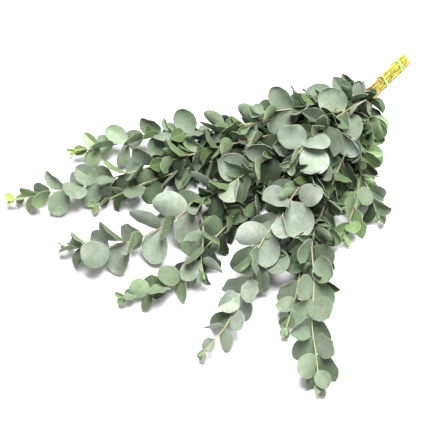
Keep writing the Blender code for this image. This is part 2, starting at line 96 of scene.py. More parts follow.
# %% The branches
# Slot is a stem's place in the bundle, as steps across and rows up. Leaf is the largest leaf's length, first
# is how far from the inner band the leaves start, step is the distance between pairs, young is the share of
# the leafy length where leaves are still growing, phase turns the first pair, in degrees, and seed starts the
# random draws. A branch marked open has its old leaves in the light too. Route is the stem's line beyond the
# bands, and shoot that of a side shoot.
BRANCHES = {
    "sprig_top": {
        "slot": (0, 3), "leaf": 0.047, "first": 0.085, "step": 0.025,
        "young": 0.20, "phase": 60, "seed": 3,
        "route": [
            (0.055, 0.004, 0.034), (0.112, 0.015, 0.066), (0.174, 0.014, 0.086),
            (0.225, 0.018, 0.096), (0.262, 0.022, 0.092),
        ],
    },
    "sprig_right": {
        "slot": (-1, 3), "leaf": 0.046, "first": 0.048, "step": 0.025,
        "young": 0.15, "phase": 35, "seed": 5,
        "route": [
            (0.055, -0.003, 0.033), (0.095, 0.000, 0.058), (0.136, -0.015, 0.078),
            (0.178, -0.038, 0.084), (0.213, -0.071, 0.080),
        ],
    },
    "sprig_centre": {
        "slot": (0.5, 2), "leaf": 0.052, "first": 0.150, "step": 0.027,
        "young": 0.06, "phase": 40, "seed": 8,
        "route": [
            (0.055, 0.008, 0.027), (0.137, 0.026, 0.060), (0.231, 0.043, 0.078),
            (0.302, 0.056, 0.084), (0.356, 0.063, 0.074), (0.401, 0.070, 0.058),
        ],
    },
    "branch_centre": {
        "slot": (-0.5, 2), "leaf": 0.050, "first": 0.150, "step": 0.025,
        "young": 0.14, "phase": 42, "seed": 13,
        "route": [
            (0.055, 0.001, 0.026), (0.132, 0.013, 0.054), (0.205, -0.004, 0.065),
            (0.264, -0.021, 0.062), (0.323, -0.032, 0.058), (0.382, -0.049, 0.052),
            (0.446, -0.064, 0.046), (0.502, -0.095, 0.038), (0.544, -0.148, 0.024),
        ],
        "shoot": [
            (0.382, -0.049, 0.052), (0.396, -0.023, 0.052), (0.415, -0.004, 0.048),
            (0.435, 0.010, 0.040), (0.448, 0.026, 0.032),
        ],
    },
    "branch_right_upper": {
        "slot": (-1.5, 2), "leaf": 0.040, "first": 0.130, "step": 0.024,
        "young": 0.16, "phase": 50, "seed": 21, "open": True,
        "route": [
            (0.055, -0.006, 0.026), (0.105, -0.010, 0.048), (0.164, -0.038, 0.060),
            (0.230, -0.079, 0.060), (0.280, -0.123, 0.050), (0.319, -0.172, 0.042),
            (0.370, -0.210, 0.034), (0.405, -0.238, 0.030), (0.425, -0.255, 0.026),
        ],
    },
    "branch_right_long": {
        "slot": (-1, 1), "leaf": 0.041, "first": 0.170, "step": 0.023,
        "young": 0.14, "phase": 45, "seed": 34,
        "route": [
            (0.055, -0.003, 0.019), (0.115, 0.001, 0.042), (0.194, -0.032, 0.052),
            (0.258, -0.073, 0.050), (0.321, -0.115, 0.044), (0.379, -0.151, 0.038),
            (0.432, -0.183, 0.034), (0.491, -0.224, 0.028), (0.540, -0.265, 0.020),
        ],
    },
    "branch_left_outer": {
        "slot": (1, 1), "leaf": 0.045, "first": 0.120, "step": 0.025,
        "young": 0.09, "phase": 48, "seed": 55,
        "route": [
            (0.055, 0.011, 0.020), (0.125, 0.040, 0.042), (0.193, 0.062, 0.052),
            (0.260, 0.088, 0.054), (0.315, 0.110, 0.052), (0.358, 0.149, 0.045),
            (0.408, 0.187, 0.036), (0.435, 0.217, 0.028), (0.463, 0.246, 0.018),
        ],
        "shoot": [
            (0.125, 0.040, 0.042), (0.154, 0.060, 0.046), (0.173, 0.085, 0.040),
            (0.188, 0.114, 0.034), (0.208, 0.145, 0.026),
        ],
    },
    "branch_left_middle": {
        "slot": (0, 1), "leaf": 0.041, "first": 0.190, "step": 0.027,
        "young": 0.20, "phase": 40, "seed": 89,
        "route": [
            (0.055, 0.004, 0.019), (0.126, 0.024, 0.042), (0.197, 0.032, 0.050),
            (0.269, 0.049, 0.052), (0.325, 0.068, 0.050), (0.378, 0.079, 0.044),
            (0.427, 0.082, 0.036), (0.482, 0.099, 0.026), (0.530, 0.100, 0.018),
        ],
    },
    "branch_right_lower": {
        "slot": (-2, 1), "leaf": 0.041, "first": 0.130, "step": 0.028,
        "young": 0.18, "phase": 45, "seed": 144,
        "route": [
            (0.055, -0.009, 0.018), (0.104, -0.008, 0.028), (0.182, -0.026, 0.032),
            (0.244, -0.060, 0.030), (0.287, -0.084, 0.028), (0.343, -0.115, 0.026),
            (0.399, -0.143, 0.024), (0.465, -0.170, 0.018),
        ],
    },
    "branch_centre_lower": {
        "slot": (-0.5, 0), "leaf": 0.038, "first": 0.180, "step": 0.024,
        "young": 0.14, "phase": 50, "seed": 233,
        "route": [
            (0.055, 0.001, 0.012), (0.124, 0.008, 0.022), (0.209, 0.006, 0.030),
            (0.286, 0.004, 0.030), (0.350, -0.002, 0.028), (0.414, -0.001, 0.027),
            (0.473, 0.003, 0.025), (0.512, -0.016, 0.022), (0.544, -0.038, 0.018),
        ],
    },
    "branch_left_inner": {
        "slot": (0.5, 0), "leaf": 0.040, "first": 0.140, "step": 0.028,
        "young": 0.20, "phase": 45, "seed": 377,
        "route": [
            (0.055, 0.007, 0.012), (0.119, 0.028, 0.022), (0.191, 0.044, 0.030),
            (0.263, 0.056, 0.032), (0.315, 0.084, 0.032), (0.348, 0.117, 0.030),
            (0.384, 0.140, 0.026), (0.430, 0.161, 0.016),
        ],
    },
    "branch_left_edge": {
        "slot": (2, 1), "leaf": 0.045, "first": 0.082, "step": 0.028,
        "young": 0.20, "phase": 45, "seed": 610, "open": True,
        "route": [
            (0.055, 0.018, 0.020), (0.105, 0.046, 0.026), (0.155, 0.078, 0.024),
            (0.210, 0.108, 0.022), (0.262, 0.130, 0.018),
        ],
    },
    "branch_under_right": {
        "slot": (-1.5, 0), "leaf": 0.042, "first": 0.120, "step": 0.031,
        "young": 0.20, "phase": 45, "seed": 987,
        "route": [
            (0.055, -0.007, 0.012), (0.110, -0.022, 0.018), (0.170, -0.048, 0.018),
            (0.230, -0.090, 0.018), (0.285, -0.130, 0.016), (0.335, -0.160, 0.014),
        ],
    },
    "branch_under_left": {
        "slot": (1.5, 0), "leaf": 0.042, "first": 0.080, "step": 0.031,
        "young": 0.20, "phase": 45, "seed": 1597,
        "route": [
            (0.055, 0.014, 0.012), (0.110, 0.044, 0.014), (0.175, 0.064, 0.016),
            (0.240, 0.082, 0.016), (0.300, 0.112, 0.015), (0.340, 0.150, 0.013),
        ],
    },
}
print(len(BRANCHES), "branches, of which", sum("shoot" in b for b in BRANCHES.values()), "have a side shoot")

# %% Smooth lines through the points
def smooth_line(points, gap):
    """A smooth curve through the points, as places about gap apart."""
    points = [Vector(p) for p in points]
    ends = [2 * points[0] - points[1], *points, 2 * points[-1] - points[-2]]
    line = [points[0]]
    for before, start, end, after in zip(ends, ends[1:], ends[2:], ends[3:]):
        span = (end - start).length
        lead = (end - before).normalized() * span
        trail = (after - start).normalized() * span
        steps = max(1, round(span / gap))
        for step in range(1, steps + 1):
            t = step / steps
            line.append(
                (2 * t**3 - 3 * t**2 + 1) * start + (t**3 - 2 * t**2 + t) * lead
                + (3 * t**2 - 2 * t**3) * end + (t**3 - t**2) * trail
            )
    return line


def slot_place(slot):
    """(y, z) of a stem inside the bands. The lowest row's band rests on the surface."""
    lowest = STEM_RADIUS + TIE_GAP + TIE_THICKNESS + LOOP_LIFT * (TIE_LOOPS - 1)
    return slot[0] * STEM_PITCH, lowest + slot[1] * ROW_STEP


def stem_line(branch, gap):
    """The line of a branch's main stem from its cut end to its tip."""
    y, z = slot_place(branch["slot"])
    cut = CUT_END_X + CUT_UNEVENNESS * math.sin(7 * branch["seed"])
    held = [(cut, y, z), (OUTER_TIE_X, y, z), (INNER_TIE_X, y, z), (STRAIGHT_END_X, y, z)]
    return smooth_line([*held, *branch["route"]], gap)


def along(line, distance):
    """The place and the direction at a distance along a line."""
    gone = 0.0
    for start, end in zip(line, line[1:]):
        span = (end - start).length
        if gone + span >= distance:
            break
        gone += span
    return start.lerp(end, min(1.0, (distance - gone) / span)), (end - start).normalized()


def length_of(line):
    """The length of a line in metres."""
    return sum((end - start).length for start, end in zip(line, line[1:]))


for name, branch in BRANCHES.items():
    print(name, round(length_of(stem_line(branch, 0.01)), 3), "m long")

# %% [markdown]
# Where the leaves sit
#
# Eucalyptus leaves grow in opposite pairs, each pair turned a quarter from the one before, and they turn
# their upper faces to the light. In a bunch they also push each other aside.
# A scatter of random leaves would look like a hedge and would cut through itself. Instead each leaf is
# grown with the same rules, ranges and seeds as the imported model's. It is tested as a plain thick blade
# against all that is already in place, and bent, turned or made smaller until it is clear.

# %% How leaves grow and vary
WELD = 0.00002
COARSE_STEM_GAP = 0.040
COARSE_SHOOT_GAP = 0.032
ROUND_OUTLINE = ((0.32, 0.96), (0.72, 0.92))
YOUNG_OUTLINE = ((0.46, 1.0),)
YOUNG_LENGTH = 0.028
PLAIN_THICKNESS = 0.0008
STALK_LENGTH = 0.0042
STALK_SHARE = 0.16
STALK_HALF_WIDTH = 0.0010
PAIR_TURN = math.radians(90)
TIP_BUD = 0.003
SMALLEST_LEAF = 0.34
OLDEST_LEAF = 0.80
SPACING_OF_SMALLEST = 0.55
SPACING_SPREAD = 0.08
SHOOT_LEAF_SHARE = 0.85
SHOOT_BARE_LENGTH = 0.030
LENGTH_SPREAD = (0.92, 1.06)
WIDTH_SHARE = (0.64, 0.92)
CURL = (-0.15, 0.11)
OPENING = (math.radians(58), math.radians(78))
LEANING = math.radians(34)
CLOSING_AT_TIP = math.radians(22)
CLOSING_FROM = 0.8
LIGHT = Vector((0.26, 0.23, 0.94)).normalized()
TURN_TO_LIGHT = (0.25, 1.0)
SHADED_SHARE = 0.5
SHADED_BELOW = 0.056
WIDTH_IN_SHADE = (0.52, 0.80)
TURN_IN_SHADE = (0.0, 0.5)
ROLL = math.radians(24)
CLEARANCE = 0.0007
ROOT_KEPT_CLEAR = 0.0045
TRIES = 60
BEND_ROUND = 1.3
BEND_OPENING = (-0.8, 0.5)
BEND_ROLL = 1.4
SHRINK_FROM = 0.4
SHRINK = 0.35
DEEPEST_DIP = 0.004

# %% A tube along a line
def add_object(name, data):
    """A new object for a mesh, a curve, a lamp or a camera, in the scene."""
    made = bpy.data.objects.new(name, data)
    bpy.context.scene.collection.objects.link(made)
    return made


def tube_curve(name, places, radii, rounding):
    """A curve through the places, bevelled to a tube with closed ends that has these radii."""
    curve = bpy.data.curves.new(name, "CURVE")
    curve.dimensions = "3D"
    curve.bevel_depth = 1.0
    curve.bevel_resolution = rounding
    curve.use_fill_caps = True
    spline = curve.splines.new("POLY")
    spline.points.add(len(places) - 1)
    for point, place, radius in zip(spline.points, places, radii):
        point.co = (*place, 1)
        point.radius = radius
    return add_object(name, curve)


# %% A plain stem, to test for room
def plain_tube(line, start_radius, end_radius):
    """A four-sided stem along a line, as a mesh with closed ends."""
    last = len(line) - 1
    radii = [start_radius + (end_radius - start_radius) * number / last for number in range(len(line))]
    guide = tube_curve("plain_stem", line, radii, 0)
    graph = bpy.context.evaluated_depsgraph_get()
    mesh = bpy.data.meshes.new_from_object(guide.evaluated_get(graph))
    bpy.data.objects.remove(guide)
    tube = bmesh.new()
    tube.from_mesh(mesh)
    bmesh.ops.remove_doubles(tube, verts=tube.verts, dist=WELD)
    bpy.data.meshes.remove(mesh)
    return tube


# %% A plain blade, to test for room
def blade_outline(leaf):
    """The half outline of a blade with its stalk, as (distance along the rib, half width)."""
    length, half = leaf["length"], leaf["width"] / 2
    rounding = YOUNG_OUTLINE if length < YOUNG_LENGTH else ROUND_OUTLINE
    stalk = min(STALK_LENGTH, STALK_SHARE * length)
    return [(stalk, STALK_HALF_WIDTH)] + [(share * length, wide * half) for share, wide in rounding]


def blade_surface(leaf, grow, root):
    """The blade's middle surface, laid out along its rib and curled."""
    length = leaf["length"]
    left = [(along_rib, wide + grow) for along_rib, wide in blade_outline(leaf)]
    right = [(along_rib, -wide) for along_rib, wide in reversed(left)]
    outline = [(root, 0.0), *left, (length + grow, 0.0), *right]
    sheet = bmesh.new()
    bmesh.ops.create_circle(sheet, cap_ends=True, radius=1.0, segments=len(outline))
    corners = sorted(sheet.verts, key=lambda v: math.atan2(v.co.x, v.co.y))
    for corner, (along_rib, wide) in zip(corners, outline):
        corner.co = (max(root, along_rib), wide, length * leaf["curl"] * (along_rib / length) ** 2)
    for number in range(1, len(left) + 1):
        bmesh.ops.connect_verts(sheet, verts=[corners[number], corners[-number]])
    bmesh.ops.triangulate(sheet, faces=sheet.faces)
    return sheet


def plain_blade(leaf, thickness, grow=0.0, root=0.0):
    """A closed blade in place. What would dip below the surface lies on it."""
    blade = blade_surface(leaf, grow, root)
    rib, face = leaf["rib"], leaf["face"]
    turn = Matrix((rib, face.cross(rib), face)).transposed()
    blade.transform(Matrix.Translation(leaf["root"]) @ turn.to_4x4())
    lowest = thickness / 2 * abs(face.z)
    for corner in blade.verts:
        corner.co.z = max(corner.co.z, lowest)
        corner.co -= face * thickness / 2
    raised = bmesh.ops.extrude_face_region(blade, geom=blade.faces[:])
    upper = [piece for piece in raised["geom"] if isinstance(piece, bmesh.types.BMVert)]
    bmesh.ops.translate(blade, vec=face * thickness, verts=upper)
    bmesh.ops.triangulate(blade, faces=blade.faces)
    bmesh.ops.recalc_face_normals(blade, faces=blade.faces)
    return blade


def tree_of(shape):
    """A search tree of a mesh's faces, which tells where two meshes cross. The mesh itself is freed."""
    tree = BVHTree.FromBMesh(shape)
    shape.free()
    return tree


# %% Which way a leaf points, and how big it is
def aim_leaf(direction, azimuth, opening, turn_to_light, roll):
    """The rib's and the upper face's directions for a leaf that leaves the stem at an azimuth."""
    above = (UP - UP.dot(direction) * direction).normalized()
    beside = direction.cross(above)
    outward = math.cos(azimuth) * above + math.sin(azimuth) * beside
    rib = (math.cos(opening) * direction + math.sin(opening) * outward).normalized()
    face = (direction - direction.dot(rib) * rib).normalized()
    lit = (LIGHT - LIGHT.dot(rib) * rib).normalized()
    turn = roll + turn_to_light * math.atan2(face.cross(lit).dot(rib), face.dot(lit))
    return rib, Matrix.Rotation(turn, 3, rib) @ face


def size_share(share, young):
    """A leaf's size as a share of the branch's largest, at its share of the way along the leafy length."""
    growth = SMALLEST_LEAF + (1 - SMALLEST_LEAF) * min(1.0, (1 - share) / young)
    return growth * min(1.0, OLDEST_LEAF + share)


def ball_round(leaf):
    """(centre, radius) of a ball round a leaf."""
    middle = leaf["root"] + leaf["rib"] * leaf["length"] / 2
    return middle, leaf["length"] / 2 + leaf["width"] / 4


# %% Finding room for each leaf
class Foliage:
    """Finds a free place for each leaf: a leaf that would cross another is bent clear, or has fallen."""

    def __init__(self):
        self.placed = []
        self.clearance = CLEARANCE

    def is_clear(self, leaf, stem_name, node):
        """Whether a leaf dips hardly below the surface and is clear of all in place but its own stem."""
        tip = leaf["root"] + leaf["rib"] * leaf["length"]
        side_dip = abs(leaf["face"].cross(leaf["rib"]).z) * leaf["width"] / 2
        if min(tip.z, (leaf["root"].z + tip.z) / 2 - side_dip) < -DEEPEST_DIP:
            return False
        middle, reach = ball_round(leaf)
        padded = PLAIN_THICKNESS + 2 * self.clearance
        whole = cut = None
        for thing in self.placed:
            if thing["stem"] == stem_name and thing["is_stem"]:
                continue
            if (thing["centre"] - middle).length > thing["radius"] + reach:
                continue
            if thing["node"] == node:
                cut = cut or tree_of(plain_blade(leaf, padded, self.clearance, ROOT_KEPT_CLEAR))
                crossed = cut.overlap(thing["cut"])
            else:
                whole = whole or tree_of(plain_blade(leaf, padded, self.clearance))
                crossed = whole.overlap(thing["whole"])
            if crossed:
                return False
        return True

    def keep(self, leaf, stem_name, node):
        """Puts a leaf in place. Within its own branch it is tested without its root, where blades meet."""
        middle, reach = ball_round(leaf)
        self.placed.append({
            "stem": stem_name, "node": node, "is_stem": False, "centre": middle, "radius": reach,
            "whole": tree_of(plain_blade(leaf, PLAIN_THICKNESS)),
            "cut": tree_of(plain_blade(leaf, PLAIN_THICKNESS, root=ROOT_KEPT_CLEAR)),
        })

    def add_stem(self, tube, stem_name, node):
        """Puts a stem in place."""
        corners = [corner.co.copy() for corner in tube.verts]
        centre = sum(corners, Vector()) / len(corners)
        tree = tree_of(tube)
        self.placed.append({
            "stem": stem_name, "node": node, "is_stem": True, "centre": centre,
            "radius": max((corner - centre).length for corner in corners), "whole": tree, "cut": tree,
        })

    def grow(self, stem_name, node, line, first, branch, draw):
        """The leaves in pairs along a line, from its tip back, each turned a quarter from the last."""
        leaves = []
        whole = length_of(line)
        reach, number = whole - TIP_BUD, 0
        while reach > first:
            share = (reach - first) / (whole - first)
            growth = size_share(share, branch["young"])
            place, direction = along(line, reach)
            azimuth = math.radians(branch["phase"]) + number * PAIR_TURN
            for side in (0, math.pi):
                size = branch["leaf"] * growth
                wish = self.wish(place, azimuth + side, size, share, "open" in branch, draw)
                leaf = self.find(stem_name, node, direction, wish, draw)
                if leaf:
                    leaves.append({**leaf, "stem": stem_name, "share": share, "reach": reach})
            spacing = SPACING_OF_SMALLEST + (1 - SPACING_OF_SMALLEST) * growth
            reach -= branch["step"] * spacing * draw.uniform(1 - SPACING_SPREAD, 1 + SPACING_SPREAD)
            number += 1
        return leaves

    def wish(self, place, azimuth, size, share, is_open, draw):
        """The leaf that would grow here with nothing in its way."""
        length = size * draw.uniform(*LENGTH_SPREAD)
        closing = CLOSING_AT_TIP * max(0.0, share - CLOSING_FROM) / (1 - CLOSING_FROM)
        closing += LEANING * math.cos(azimuth) ** 2
        is_shaded = share < SHADED_SHARE and place.z < SHADED_BELOW and not is_open
        widths = WIDTH_IN_SHADE if is_shaded else WIDTH_SHARE
        turning = TURN_IN_SHADE if is_shaded else TURN_TO_LIGHT
        return {
            "root": place, "azimuth": azimuth, "length": length,
            "curl": draw.uniform(*CURL),
            "width": length * draw.uniform(*widths),
            "opening": draw.uniform(*OPENING) - closing,
            "turn_to_light": draw.uniform(*turning),
            "roll": draw.uniform(-ROLL, ROLL),
        }

    def find(self, stem_name, node, direction, wish, draw):
        """The leaf as wished, or bent clear of its neighbours, or None where there is no room for it."""
        for attempt in range(TRIES):
            bend = attempt / TRIES
            azimuth = wish["azimuth"] + bend * draw.uniform(-BEND_ROUND, BEND_ROUND)
            opening = wish["opening"] + bend * draw.uniform(*BEND_OPENING)
            roll = wish["roll"] + bend * draw.uniform(-BEND_ROLL, BEND_ROLL)
            rib, face = aim_leaf(direction, azimuth, opening, wish["turn_to_light"], roll)
            kept = 1 - SHRINK * max(0.0, bend - SHRINK_FROM) / (1 - SHRINK_FROM)
            size = {"length": wish["length"] * kept, "width": wish["width"] * kept}
            leaf = {**wish, **size, "rib": rib, "face": face}
            if self.is_clear(leaf, stem_name, node):
                self.keep(leaf, stem_name, node)
                return leaf
        return None


# %% Grow every leaf in its place
foliage = Foliage()
for name, branch in BRANCHES.items():
    foliage.add_stem(plain_tube(stem_line(branch, COARSE_STEM_GAP), STEM_RADIUS, TIP_RADIUS), name, name)
    if "shoot" in branch:
        shoot = smooth_line(branch["shoot"], COARSE_SHOOT_GAP)
        foliage.add_stem(plain_tube(shoot, SHOOT_RADIUS, TIP_RADIUS), name + "_shoot", name)

leaves = {}
for name, branch in BRANCHES.items():
    draw = random.Random(branch["seed"])
    line = stem_line(branch, COARSE_STEM_GAP)
    leaves[name] = foliage.grow(name, name, line, branch["first"] - CUT_END_X, branch, draw)
    if "shoot" in branch:
        smaller = {key: branch[key] * SHOOT_LEAF_SHARE for key in ("leaf", "step")}
        line = smooth_line(branch["shoot"], COARSE_SHOOT_GAP)
        leaves[name] += foliage.grow(
            name + "_shoot", name, line, SHOOT_BARE_LENGTH, {**branch, **smaller}, draw
        )
print(sum(len(found) for found in leaves.values()), "leaves found room")

# %% [markdown]
# The dark heap in the middle
#
# Where the branches lie on one another the real bunch is a dense heap of older leaves, pushed every way
# round, and hardly any light gets through it. The pairs alone leave it too open.
# Single leaves are grown between the pairs there, in whatever room is left. The lowest lie flat, as a bed
# that hides the surface, and the rest are mostly seen edge on.

# %% Grow the leaves inside the heap
HEAP_START = 0.062
HEAP_END = 0.400
HEAP_END_SHARE = 0.8
HEAP_STEP = 0.0075
HEAP_SIZE = (0.62, 1.0)
HEAP_SMALLEST = 0.022
HEAP_WIDTH_SHARE = (0.42, 0.80)
HEAP_OPENING = (math.radians(35), math.radians(70))
HEAP_TURN_TO_LIGHT = (0.0, 0.5)
HEAP_CLEARANCE = 0.0003
BED_HEIGHT = 0.036
BED_STEP = 0.005
BED_SIZE = 1.2
BED_TURN_TO_LIGHT = (0.5, 1.0)

foliage.clearance = HEAP_CLEARANCE
heap = {}
for name, branch in BRANCHES.items():
    draw = random.Random(branch["seed"] + 1)
    line = stem_line(branch, COARSE_STEM_GAP)
    heap[name] = []
    reach = HEAP_START - CUT_END_X
    while reach < min(HEAP_END - CUT_END_X, HEAP_END_SHARE * length_of(line)):
        place, direction = along(line, reach)
        size = branch["leaf"] * draw.uniform(*HEAP_SIZE)
        wish = foliage.wish(place, draw.uniform(0, 2 * math.pi), size, 0.0, "open" in branch, draw)
        wish["opening"] = draw.uniform(*HEAP_OPENING)
        if place.z < BED_HEIGHT:
            wish["length"] *= BED_SIZE
            wish["width"] *= BED_SIZE
            wish["turn_to_light"] = draw.uniform(*BED_TURN_TO_LIGHT)
        else:
            wish["width"] = wish["length"] * draw.uniform(*HEAP_WIDTH_SHARE)
            wish["turn_to_light"] = draw.uniform(*HEAP_TURN_TO_LIGHT)
        leaf = foliage.find(name, name, direction, wish, draw)
        if leaf and leaf["length"] > HEAP_SMALLEST:
            heap[name].append({**leaf, "stem": name})
        reach += BED_STEP if place.z < BED_HEIGHT else HEAP_STEP
print(sum(len(found) for found in heap.values()), "more leaves in the heap")

# %% [markdown]
# Modelling with operators
#
# The blade masters and the cut end start as primitives and are shaped in edit mode, as by hand. An operator
# works on all that is selected, so each piece starts with nothing selected, and corners are then chosen by
# their place.

# %% Two helpers for modelling by hand
def select_only(thing=None):
    """Leaves edit mode and selects one object, or nothing."""
    if bpy.context.mode != "OBJECT":
        bpy.ops.object.mode_set(mode="OBJECT")
    bpy.ops.object.select_all(action="DESELECT")
    if thing:
        thing.select_set(True)
        bpy.context.view_layer.objects.active = thing


def choose(test):
    """In edit mode, selects only the corners that pass a test."""
    shape = bmesh.from_edit_mesh(bpy.context.edit_object.data)
    for corner in shape.verts:
        corner.select_set(bool(test(corner)))
    shape.select_flush_mode()
    bmesh.update_edit_mesh(bpy.context.edit_object.data)


# %% [markdown]
# One blade to copy
#
# A silver-dollar leaf is nearly round, sits on the stem by a very short stalk, ends in a faint point, and is
# folded a little along its midrib. Its rim often waves.
# Hundreds of them are needed, so the master is a thin sheet of only 32 faces: a circle, filled with a grid
# whose middle line becomes the midrib. The grid can start at any corner of the rim, and the offset was tried
# out until that line ran from stalk to tip. The thickness comes later, when a branch is complete.

# %% The blade's size and grid
MASTER_LENGTH = 0.040
MASTER_WIDTH = 0.032
RIM_CORNERS = 24
SHORT_STALK = 0.05
ACROSS = 4
MIDLINE_OFFSET = 10
WAVE_STARTS = (0.18, 0.42, 0.66)
WAVE_SPAN = 0.2
TINY = MASTER_LENGTH / 1000


def model_blade(name, fold, cup, wave, point):
    """A sheet from (0, 0, 0) to (MASTER_LENGTH, 0, 0), upper side up, its halves folded up by some degrees.

    Cup, wave and point are shares of its length.
    """
    select_only()
    middle = Vector((MASTER_LENGTH / 2, 0, 0))
    bpy.ops.mesh.primitive_circle_add(vertices=RIM_CORNERS, radius=MASTER_LENGTH / 2, location=middle)
    blade = bpy.context.object
    blade.name = name
    bpy.ops.object.transform_apply(location=True)
    bpy.ops.object.mode_set(mode="EDIT")
    bpy.ops.mesh.select_all(action="SELECT")
    bpy.ops.transform.resize(value=(1, MASTER_WIDTH / MASTER_LENGTH, 1))
    bpy.ops.transform.resize(value=(1 - SHORT_STALK, 1, 1), center_override=(MASTER_LENGTH, 0, 0))
    bpy.ops.mesh.fill_grid(span=ACROSS, offset=MIDLINE_OFFSET)
    stem_end = MASTER_LENGTH * (SHORT_STALK + 0.01)
    choose(lambda corner: corner.co.x < stem_end)
    bpy.ops.transform.translate(value=(-SHORT_STALK * MASTER_LENGTH, 0, 0))
    choose(lambda corner: corner.co.x > MASTER_LENGTH - TINY)
    bpy.ops.transform.translate(value=(point * MASTER_LENGTH, 0, 0))
    choose(lambda corner: corner.is_boundary)
    bpy.ops.transform.translate(value=(0, 0, cup * MASTER_LENGTH))
    for side in (-1, 1):
        for number, start in enumerate(WAVE_STARTS):
            low, high = start * MASTER_LENGTH, (start + WAVE_SPAN) * MASTER_LENGTH
            choose(lambda corner: corner.is_boundary and low < corner.co.x < high and corner.co.y * side > 0)
            height = wave * MASTER_LENGTH * (-1) ** (number + (side > 0))
            bpy.ops.transform.translate(value=(0, 0, height))
    for side in (-1, 1):
        choose(lambda corner: corner.co.y * side > TINY)
        turn = -side * math.radians(fold)
        bpy.ops.transform.rotate(value=turn, orient_axis="X", center_override=(0, 0, 0))
    bpy.ops.object.mode_set(mode="OBJECT")
    return blade


# %% Seven masters, each bent in its own way
MASTERS = {
    "flat": model_blade("flat_blade", fold=5, cup=0.010, wave=0.014, point=0.015),
    "dished": model_blade("dished_blade", fold=8, cup=0.070, wave=0.014, point=0.010),
    "drooping": model_blade("drooping_blade", fold=-12, cup=-0.050, wave=0.010, point=0.020),
    "waved": model_blade("waved_blade", fold=8, cup=-0.010, wave=0.052, point=0.020),
    "folded": model_blade("folded_blade", fold=30, cup=0.010, wave=0.022, point=0.015),
    "closed": model_blade("closed_blade", fold=48, cup=0.000, wave=0.025, point=0.020),
    "young": model_blade("young_blade", fold=12, cup=0.040, wave=0.005, point=0.050),
}
OPEN_KINDS = ("flat", "dished", "drooping", "waved", "folded")
HIDDEN_KINDS = ("drooping", "waved", "folded", "closed", "closed")
for kind, master in MASTERS.items():
    on_midrib = sum(abs(corner.co.y) < MASTER_WIDTH / 100 for corner in master.data.vertices)
    print(kind, "blade:", len(master.data.polygons), "faces,", on_midrib, "corners on its midrib")

# %% A map on the blade for its midrib and veins, and a mark along its rim
for master in MASTERS.values():
    mesh = master.data
    uv = mesh.uv_layers.new(name="blade")
    for loop in mesh.loops:
        x, y, z = mesh.vertices[loop.vertex_index].co
        uv.uv[loop.index].vector = (x / MASTER_LENGTH, y / MASTER_WIDTH)
    shape = bmesh.new()
    shape.from_mesh(mesh)
    rim = [float(corner.is_boundary) for corner in shape.verts]
    shape.free()
    mesh.attributes.new("rim", "FLOAT", "POINT").data.foreach_set("value", rim)
    master.hide_render = True
    print(master.name, "has", round(sum(rim)), "corners on its rim")

# %% [markdown]
# Fine stems to hang them on
#
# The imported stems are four-sided and run in straight steps, which is enough for weight and touch. Seen
# close, a eucalyptus twig is round and bends smoothly, with a swollen ring where each pair of leaves sits.
# A bevelled curve gives the round bark, and the radius of its points gives both the taper and the rings.

# %% Smooth lines, and the leaves' feet moved onto them
FINE_GAP = 0.006
RING_HALF_LENGTH = 0.0022
RING_SWELLING = 0.28


def fine_line_of(stem_name):
    """The line of a main stem or a side shoot, in short steps."""
    name = stem_name.removesuffix("_shoot")
    if stem_name == name:
        return stem_line(BRANCHES[name], FINE_GAP)
    return smooth_line(BRANCHES[name]["shoot"], FINE_GAP)


def nearest_on(line, place):
    """(how far along the line, the place there) nearest to a place."""
    best = None
    gone = 0.0
    for start, end in zip(line, line[1:]):
        step = end - start
        share = min(1.0, max(0.0, (place - start).dot(step) / step.length_squared))
        found = start.lerp(end, share)
        if best is None or (found - place).length < best[0]:
            best = ((found - place).length, gone + share * step.length, found)
        gone += step.length
    return best[1], best[2]


stems = {}
furthest = 0.0
for name, found in leaves.items():
    for stem_name in [name] + [name + "_shoot"] * ("shoot" in BRANCHES[name]):
        stems[stem_name] = {"line": fine_line_of(stem_name), "rings": []}
    for leaf in found + heap[name]:
        stem = stems[leaf["stem"]]
        ring, foot = nearest_on(stem["line"], leaf["root"])
        furthest = max(furthest, (foot - leaf["root"]).length)
        leaf["foot"] = foot
        if leaf in found:
            stem["rings"].append(ring)
print("a leaf's foot moved at most", round(1000 * furthest, 2), "mm")

# %% Scars on the bare stems, where older leaves were stripped off
SCAR_START = 0.008
SCAR_STEP = (0.014, 0.026)

for name, branch in BRANCHES.items():
    draw = random.Random(branch["seed"] + 2)
    reach = SCAR_START + draw.uniform(0, SCAR_STEP[0])
    while reach < branch["first"] - CUT_END_X:
        stems[name]["rings"].append(reach)
        reach += draw.uniform(*SCAR_STEP)
print(sum(len(stem["rings"]) for stem in stems.values()), "rings on the stems, scars included")

# %% A stem with its taper and rings
STEM_ROUNDING = 3


def model_stem(stem_name, stem, start_radius, end_radius):
    """A round stem that tapers, with three close steps at each ring for its swelling."""
    whole = length_of(stem["line"])
    marks = [number * FINE_GAP for number in range(int(whole / FINE_GAP) + 1)] + [whole]
    for ring in stem["rings"]:
        marks = [mark for mark in marks if abs(mark - ring) > 1.5 * RING_HALF_LENGTH]
        marks += [ring - RING_HALF_LENGTH, ring, ring + RING_HALF_LENGTH]
    marks = sorted({round(mark, 4) for mark in marks if 0 <= mark <= whole})
    places = [along(stem["line"], mark)[0] for mark in marks]
    radii = []
    for mark in marks:
        radius = start_radius + (end_radius - start_radius) * mark / whole
        at_ring = any(abs(mark - ring) < RING_HALF_LENGTH / 2 for ring in stem["rings"])
        radii.append(radius * (1 + RING_SWELLING * at_ring))
    made = tube_curve(stem_name + "_bark", places, radii, STEM_ROUNDING)
    select_only(made)
    bpy.ops.object.convert(target="MESH")
    return made


